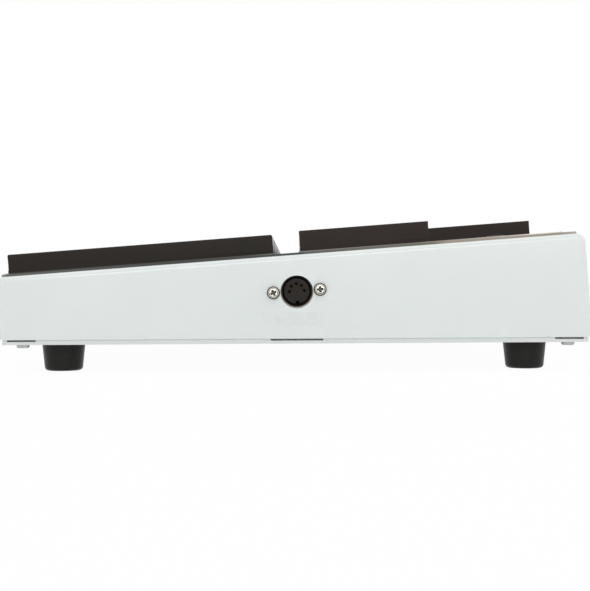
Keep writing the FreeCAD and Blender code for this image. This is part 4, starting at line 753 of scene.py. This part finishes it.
def model_screw(name, head_radius, head_height, shank_radius, length, cross):
    """A pan-head screw in millimetres, its seat on Z = 0 and its head above."""
    screw = start(
        name, bpy.ops.mesh.primitive_cylinder_add, vertices=64, radius=head_radius,
        depth=head_height, location=(0, 0, head_height / 2),
    )
    screw.data.transform(Matrix.Translation((0, 0, head_height / 2)))
    screw.location = (0, 0, 0)
    pick(screw, "edges", lambda a, b: a.z > head_height - NEAR and b.z > head_height - NEAR)
    bpy.ops.mesh.bevel(offset=head_height * DOME, segments=6, profile=0.5)
    done()
    pick(screw, "faces", lambda centre, normal: normal.z < -FACING)
    bpy.ops.mesh.inset(thickness=head_radius - shank_radius, depth=0)
    bpy.ops.mesh.extrude_region_move(TRANSFORM_OT_translate={"value": (0, 0, -length)})
    done()
    pick(screw, "edges", lambda a, b: a.z < NEAR - length and b.z < NEAR - length)
    bpy.ops.mesh.bevel(offset=shank_radius * TIP, segments=2, profile=0.5)
    done()
    carve(screw, model_cross(cross, head_height))
    # Painted shade: faces in the cross and round the rim get a value that darkens the nickel.
    painted_shade = screw.data.attributes.new("painted_shade", "FLOAT", "FACE")
    for face, shade in zip(screw.data.polygons, painted_shade.data):
        reach = math.hypot(face.center.x, face.center.y)
        if reach < cross * CROSS_REACH and NEAR < face.center.z < head_height - 0.02:
            shade.value = SHADE_IN_RECESS
        elif reach > head_radius * RIM:
            shade.value = SHADE_AT_RIM
    return screw


socket_screw = model_screw(
    "socket_screw_master", head_radius=3.1, head_height=2.0, shank_radius=1.45, length=8.0,
    cross=SOCKET_CROSS,
)
cover_screw = model_screw(
    "cover_screw_master", head_radius=3.1, head_height=1.75, shank_radius=1.45, length=8.0,
    cross=3.4,
)
foot_screw = model_screw(
    "foot_screw_master", head_radius=3.9, head_height=2.6, shank_radius=2.0, length=12.1,
    cross=4.2,
)
print("faces in one screw:", len(socket_screw.data.polygons))

# %% [markdown]
# Two screws hold the socket to the end panel, eight hold the plate and one holds each foot.
# Nobody lines up the slots, so each screw is turned by its own angle. The copies that share a
# CAD node are joined, and the joined piece replaces that node.

# %% Place the screws
SOCKET_ALONG = 2.57
SOCKET_DROP = 17.35
SOCKET_SCREW_PITCH = 22.2
HALF_BASE = HALF_DEPTH / math.cos(TILT)
COVER_SCREW_X = RIGHT_END - 8.5
COVER_SCREW_Y = HALF_BASE - 10.2
FOOT_X = RIGHT_END - 27.0
FOOT_FRONT = 25.95 - HALF_BASE
FOOT_REAR = HALF_BASE - 27.45
FOOT_RECESS = 7.0
FIRST_TURN, NEXT_TURN = 22, 71


def join(pieces):
    """Join several pieces into the first."""
    bpy.ops.object.select_all(action="DESELECT")
    for piece in pieces:
        piece.select_set(True)
    bpy.context.view_layer.objects.active = pieces[0]
    bpy.ops.object.join()
    return pieces[0]


def place_screws(master, node, places, material):
    """Copy a screw to several places and let the joined copies stand for a CAD node."""
    copies = []
    for index, matrix in enumerate(places):
        screw = copy_of(master, f"{node}_{index}")
        turn = Matrix.Rotation(math.radians(FIRST_TURN + NEXT_TURN * index), 4, "Z")
        screw.data.transform(Matrix.Scale(1 / MM, 4) @ matrix @ turn @ Matrix.Scale(MM, 4))
        copies.append(screw)
    joined = join(copies)
    joined.name = f"{node}_plated"
    joined.data.name = f"{node}_plated"
    finish_piece(joined, Matrix.Identity(4), "casing", material, smooth=30)
    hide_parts(node)


OUT_OF_PANEL = Matrix.Rotation(math.radians(90), 4, "Y")
DOWN = Matrix.Rotation(math.radians(180), 4, "X")
socket_places = [
    on_deck(RIGHT_END, SOCKET_ALONG + side * SOCKET_SCREW_PITCH / 2, -SOCKET_DROP, OUT_OF_PANEL)
    for side in (-1, 1)
]
cover_places = [
    Matrix.Translation(Vector((x, y, FOOT_HEIGHT)) * MM) @ DOWN
    for x in (-COVER_SCREW_X, -COVER_SCREW_X / 3, COVER_SCREW_X / 3, COVER_SCREW_X)
    for y in (-COVER_SCREW_Y, COVER_SCREW_Y)
]
foot_places = [
    Matrix.Translation(Vector((x, y, FOOT_RECESS)) * MM) @ DOWN
    for x in (-FOOT_X, FOOT_X) for y in (FOOT_FRONT, FOOT_REAR)
]
place_screws(socket_screw, "midi_socket_screws", socket_places, nickel)
place_screws(cover_screw, "cover_screws", cover_places, zinc)
place_screws(foot_screw, "foot_screws", foot_places, zinc)
for master in (socket_screw, cover_screw, foot_screw):
    bpy.data.objects.remove(master)
print("screws placed:", len(socket_places) + len(cover_places) + len(foot_places))

# %% [markdown]
# ## Nuts on the pedal jacks
#
# The jacks at the rear are held by thin nickel-plated nuts. A real nut is turned before it is
# cut into a hexagon, so its corners are chamfered by a cone. The same order works here: a
# six-sided cylinder keeps only what a bevelled round cylinder has in common with it, and a
# second cylinder bores it out.

# %% Model and place the nuts
JACK_X = RIGHT_END - 117.0
JACK_SPACING = 28.0
REAR_ROW = -20.3
NUT_WIDTH = 12.5
NUT_THICKNESS = 2.2
NUT_BORE = 4.62
NUT_BLANK = 0.995
NUT_CHAMFER = 0.3
NUT_TURNS = (30, 47)


def model_nut(name, width, thickness, bore):
    """A chamfered hexagon nut in millimetres that stands on Z = 0."""
    corner = width / math.sqrt(3)
    nut = start(
        name, bpy.ops.mesh.primitive_cylinder_add, vertices=6, radius=corner, depth=thickness,
        location=(0, 0, 0),
    )
    blank = start(
        "nut_blank", bpy.ops.mesh.primitive_cylinder_add, vertices=96, radius=corner * NUT_BLANK,
        depth=thickness, location=(0, 0, 0),
    )
    pick(blank, "edges", lambda a, b: a.z > thickness * 0.49 and b.z > thickness * 0.49)
    bpy.ops.mesh.bevel(offset=thickness * NUT_CHAMFER, segments=2, profile=0.5)
    done()
    carve(nut, blank, "INTERSECT")
    bore_cutter = start(
        "nut_bore", bpy.ops.mesh.primitive_cylinder_add, vertices=64, radius=bore,
        depth=thickness * 3, location=(0, 0, 0),
    )
    carve(nut, bore_cutter)
    nut.data.transform(Matrix.Translation((0, 0, thickness / 2)))
    return nut


OUT_OF_REAR = Matrix.Rotation(math.radians(-90), 4, "X")
nut_copies = []
nut_master = model_nut("nut_master", NUT_WIDTH, NUT_THICKNESS, NUT_BORE)
for index, degrees in enumerate(NUT_TURNS):
    nut = copy_of(nut_master, f"jack_nut_{index}")
    seat = on_deck(JACK_X - index * JACK_SPACING, HALF_DEPTH, REAR_ROW, OUT_OF_REAR)
    turn = Matrix.Rotation(math.radians(degrees), 4, "Z")
    nut.data.transform(Matrix.Scale(1 / MM, 4) @ seat @ turn @ Matrix.Scale(MM, 4))
    nut_copies.append(nut)
bpy.data.objects.remove(nut_master)
jack_nuts = join(nut_copies)
jack_nuts.name = "pedal_jack_nuts_plated"
jack_nuts.data.name = "pedal_jack_nuts_plated"
finish_piece(jack_nuts, Matrix.Identity(4), "casing", nickel, smooth=20)
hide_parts("pedal_jack_nuts")
print("nuts placed:", len(NUT_TURNS))

# %% [markdown]
# ## Digits behind the window
#
# The display has three seven-segment digits. Unlit, they show only as milky bars behind the red
# pane. One bar is a cube whose ends are bevelled to points; six more copies of it make a figure
# eight, leaning a little as such digits do, and the digit is repeated twice. They could be painted
# on, but bars with a thickness keep clean edges from every side.

# %% Model the digits
CONTROLS_X = RIGHT_END - 32.0
WINDOW_TO_PAD = 8.0
HALF_WINDOW = 8.0
WINDOW_ALONG = AUXILIARY_REAR + WINDOW_TO_PAD + HALF_WINDOW
DISPLAY_FACE = -1.6
DIGIT_WIDTH = 4.4
DIGIT_HEIGHT = 8.4
DIGIT_PITCH = 8.2
DIGIT_LEAN = math.radians(8)
BAR = 0.9
BAR_THICKNESS = 0.12
BAR_GAP = 0.3
BAR_POINT = 0.45
bars = []
for digit in (-1, 0, 1):
    for x, y, upright in (
        (0, 1, False), (0, 0, False), (0, -1, False),
        (-1, 0.5, True), (1, 0.5, True), (-1, -0.5, True), (1, -0.5, True),
    ):
        bar = start("bar", bpy.ops.mesh.primitive_cube_add, size=1.0, location=(0, 0, 0))
        long_side = (DIGIT_HEIGHT / 2 if upright else DIGIT_WIDTH) - BAR_GAP
        size = (BAR, long_side) if upright else (long_side, BAR)
        bar.data.transform(Matrix.Diagonal((*size, BAR_THICKNESS, 1)))
        pick(bar, "edges", lambda a, b: abs(a.z - b.z) > 0.05)
        bpy.ops.mesh.bevel(offset=BAR * BAR_POINT, segments=1)
        done()
        centre_y = y * DIGIT_HEIGHT / 2
        centre_x = digit * DIGIT_PITCH + x * DIGIT_WIDTH / 2 + centre_y * math.tan(DIGIT_LEAN)
        bar.data.transform(Matrix.Translation((centre_x, centre_y, BAR_THICKNESS / 2)))
        bars.append(bar)
digits = join(bars)
digits.name = "display_digits"
digits.data.name = "display_digits"
finish_piece(
    digits, on_deck(CONTROLS_X, WINDOW_ALONG, DISPLAY_FACE), "casing", digit_red,
    smooth=20,
)
print("bars:", len(bars))

# %% [markdown]
# ## Marks on the buttons and the switch
#
# The two buttons step a number down and up, so they carry a minus and a plus, and the power
# switch carries the usual bar and ring for on and off. These marks are pad printed: a film of
# ink about a hundredth of a millimetre thick, drawn thicker here so that it shows.

# %% Model the marks
BUTTONS_ALONG = WINDOW_ALONG + 18.0
BUTTON_TOP = 2.6
BUTTON_OFFSET = 9.0
INK = 0.05
INK_CORNER = 0.3
MARK_LENGTH = 3.4
MARK_WIDTH = 0.7
ARM_LENGTH = 1.35
ARM_SHIFT = 1.03


def ink_bar(name, width, length):
    """A thin printed bar with slightly rounded corners, lying on Z = 0."""
    bar = start(name, bpy.ops.mesh.primitive_cube_add, size=1.0, location=(0, 0, 0))
    bar.data.transform(
        Matrix.Translation((0, 0, INK / 2)) @ Matrix.Diagonal((width, length, INK, 1))
    )
    pick(bar, "edges", lambda a, b: abs(a.z - b.z) > INK / 2)
    bpy.ops.mesh.bevel(offset=min(width, length) * INK_CORNER, segments=3)
    done()
    return bar


minus = ink_bar("button_minus_mark", MARK_LENGTH, MARK_WIDTH)
plus = ink_bar("button_plus_mark", MARK_LENGTH, MARK_WIDTH)
upper_arm = ink_bar("plus_upper", MARK_WIDTH, ARM_LENGTH)
lower_arm = ink_bar("plus_lower", MARK_WIDTH, ARM_LENGTH)
upper_arm.data.transform(Matrix.Translation((0, ARM_SHIFT, 0)))
lower_arm.data.transform(Matrix.Translation((0, -ARM_SHIFT, 0)))
join([plus, upper_arm, lower_arm])
for name, side, mark in (("button_minus", -1, minus), ("button_plus", 1, plus)):
    seat = on_deck(CONTROLS_X + side * BUTTON_OFFSET, BUTTONS_ALONG, BUTTON_TOP)
    finish_piece(mark, seat, name, print_white, smooth=20)
print("marks on the buttons: 2")

# %% [markdown]
# The rocker's face is two facets that rise from the middle. It rests tipped to its off side, so
# each mark is placed on its facet with the rocker's own tip added to the facet's angle.

# %% Marks on the rocker
POWER_X = RIGHT_END - 47.0
SWITCH_RIM = 1.5
PIVOT_BELOW_RIM = 2.5
ROCKER_PIVOT = HALF_DEPTH + SWITCH_RIM - PIVOT_BELOW_RIM
ROCKER_RISE = 3.0
FACET = math.radians(8.0)
FACET_REACH = 4.2
RING_RADIUS = 1.7
RING_BORE = 1.15
TIPPED = Matrix.Rotation(-FACET, 4, "Z")


def on_facet(side):
    """The middle of a facet: side +1 is towards +X. The face looks out of the rear wall."""
    rise = ROCKER_RISE + FACET_REACH * math.tan(FACET)
    middle = Matrix.Translation(Vector((side * FACET_REACH, rise, 0)) * MM)
    lean = Matrix.Rotation(side * FACET, 4, "Z")
    return on_deck(POWER_X, ROCKER_PIVOT, REAR_ROW, TIPPED @ middle @ lean @ OUT_OF_REAR)


bar_mark = ink_bar("rocker_mark_on", width=0.6, length=MARK_LENGTH)
ring_mark = start(
    "rocker_mark_off", bpy.ops.mesh.primitive_cylinder_add, vertices=48, radius=RING_RADIUS,
    depth=INK, location=(0, 0, 0),
)
ring_mark.data.transform(Matrix.Translation((0, 0, INK / 2)))
ring_bore = start(
    "ring_bore", bpy.ops.mesh.primitive_cylinder_add, vertices=48, radius=RING_BORE, depth=1.0,
    location=(0, 0, 0),
)
carve(ring_mark, ring_bore)
for mark, side in ((bar_mark, -1), (ring_mark, 1)):
    seat = on_facet(side)
    finish_piece(mark, seat, "power_switch_rocker", print_white, smooth=20)
print("marks on the rocker: 2")

# %% [markdown]
# ## Floor, light and camera
#
# The picture was taken level with the end panel, from about half a metre, against pure white. A
# white floor and a white world give that background. Under the case the floor would go dark, so
# where the camera sees it, straight or in a reflection, it glows most of the way to white and keeps
# a soft trace of the shadow. The light is plain: the world fills evenly and three soft lamps shape
# the edges. The camera stands a few millimetres to the side and is turned back by a third of a
# degree, so that the far pads show between the rows as they do in the picture.

# %% Floor
FLOOR_SIZE = 8.0
FLOOR_GLOW = 0.97


def seen_directly(tree):
    """1 where the camera looks, straight, in a reflection or through a pane, and 0 elsewhere."""
    ray = add_node(tree, "ShaderNodeLightPath")
    seen = ray.outputs["Is Camera Ray"]
    for name in ("Is Glossy Ray", "Is Transmission Ray"):
        either = add_node(tree, "ShaderNodeMath", {
            0: seen, 1: ray.outputs[name],
        }, operation="MAXIMUM")
        seen = either.outputs[0]
    return seen


bpy.ops.object.select_all(action="DESELECT")
bpy.ops.mesh.primitive_plane_add(size=FLOOR_SIZE, location=(0, 0, 0))
floor = bpy.context.object
floor.name = "floor"
paper = bpy.data.materials.new("paper_white")
paper.use_nodes = True
tree = paper.node_tree
tree.nodes.clear()
lit = add_node(tree, "ShaderNodeBsdfDiffuse", {"Color": tone("#f4f4f3")})
glow = add_node(tree, "ShaderNodeEmission", {"Color": (1, 1, 1, 1), "Strength": 1.0})
share = add_node(tree, "ShaderNodeMath", {
    0: seen_directly(tree), 1: FLOOR_GLOW,
}, operation="MULTIPLY")
mixed = add_node(tree, "ShaderNodeMixShader", {
    0: share.outputs[0], 1: lit.outputs[0], 2: glow.outputs[0],
})
output = add_node(tree, "ShaderNodeOutputMaterial")
tree.links.new(mixed.outputs[0], output.inputs["Surface"])
floor.data.materials.append(paper)
print("floor, m:", FLOOR_SIZE)

# %% World and lamps
world = bpy.data.worlds.new("white_room")
bpy.context.scene.world = world
world.use_nodes = True
tree = world.node_tree
tree.nodes.clear()
WORLD_FILL = 0.42
strength = add_node(tree, "ShaderNodeMapRange", {
    "Value": seen_directly(tree), "To Min": WORLD_FILL, "To Max": 1.0,
})
background = add_node(tree, "ShaderNodeBackground", {
    "Color": (1, 1, 1, 1), "Strength": strength.outputs["Result"],
})
output = add_node(tree, "ShaderNodeOutputWorld")
tree.links.new(background.outputs[0], output.inputs["Surface"])
LIT_POINT = Vector((0.1, 0.0, 0.03))


def softbox(name, place, width, height, watts):
    """An area lamp that looks at a point inside the instrument."""
    lamp = bpy.data.lights.new(name, "AREA")
    lamp.shape = "RECTANGLE"
    lamp.size = width
    lamp.size_y = height
    lamp.energy = watts
    holder = bpy.data.objects.new(name, lamp)
    holder.location = place
    aim = LIT_POINT - Vector(place)
    holder.rotation_euler = aim.to_track_quat("-Z", "Y").to_euler()
    bpy.context.scene.collection.objects.link(holder)


softbox("overhead", (0.1, 0.1, 1.8), 2.6, 2.6, 18.5)
softbox("front_strip", (2.0, 0.05, 0.45), 1.3, 0.5, 9.4)
softbox("rear_fill", (0.8, 1.9, 0.9), 1.0, 1.0, 5.0)
print("lamps:", len(bpy.data.lights), "and a world fill of", WORLD_FILL)

# %% Camera
FRAME_WIDTH = 590
FOCAL_PIXELS = 1097.0
CAMERA_DISTANCE = 520.0
CAMERA_HEIGHT = 36.55
CAMERA_SIDE = 2.95
ROLL = math.radians(0.34)
YAW = math.radians(0.31)
lens = bpy.data.cameras.new("portrait")
lens.sensor_fit = "HORIZONTAL"
lens.sensor_width = 36.0
lens.lens = FOCAL_PIXELS / FRAME_WIDTH * lens.sensor_width
lens.clip_start = 0.01
camera = bpy.data.objects.new("portrait", lens)
right = Vector((0, math.cos(ROLL), -math.sin(ROLL)))
upward = Vector((0, math.sin(ROLL), math.cos(ROLL)))
facing_panel = Matrix((
    (right.x, upward.x, 1.0, 0.0),
    (right.y, upward.y, 0.0, 0.0),
    (right.z, upward.z, 0.0, 0.0),
    (0.0, 0.0, 0.0, 1.0),
))
viewpoint = Vector((RIGHT_END + CAMERA_DISTANCE, CAMERA_SIDE, CAMERA_HEIGHT))
turned = Matrix.Rotation(YAW, 4, "Z")
camera.matrix_world = Matrix.Translation(viewpoint * MM) @ turned @ facing_panel
bpy.context.scene.collection.objects.link(camera)
bpy.context.scene.camera = camera
bpy.context.scene.view_settings.view_transform = "Standard"
print("lens, mm:", round(lens.lens, 2))
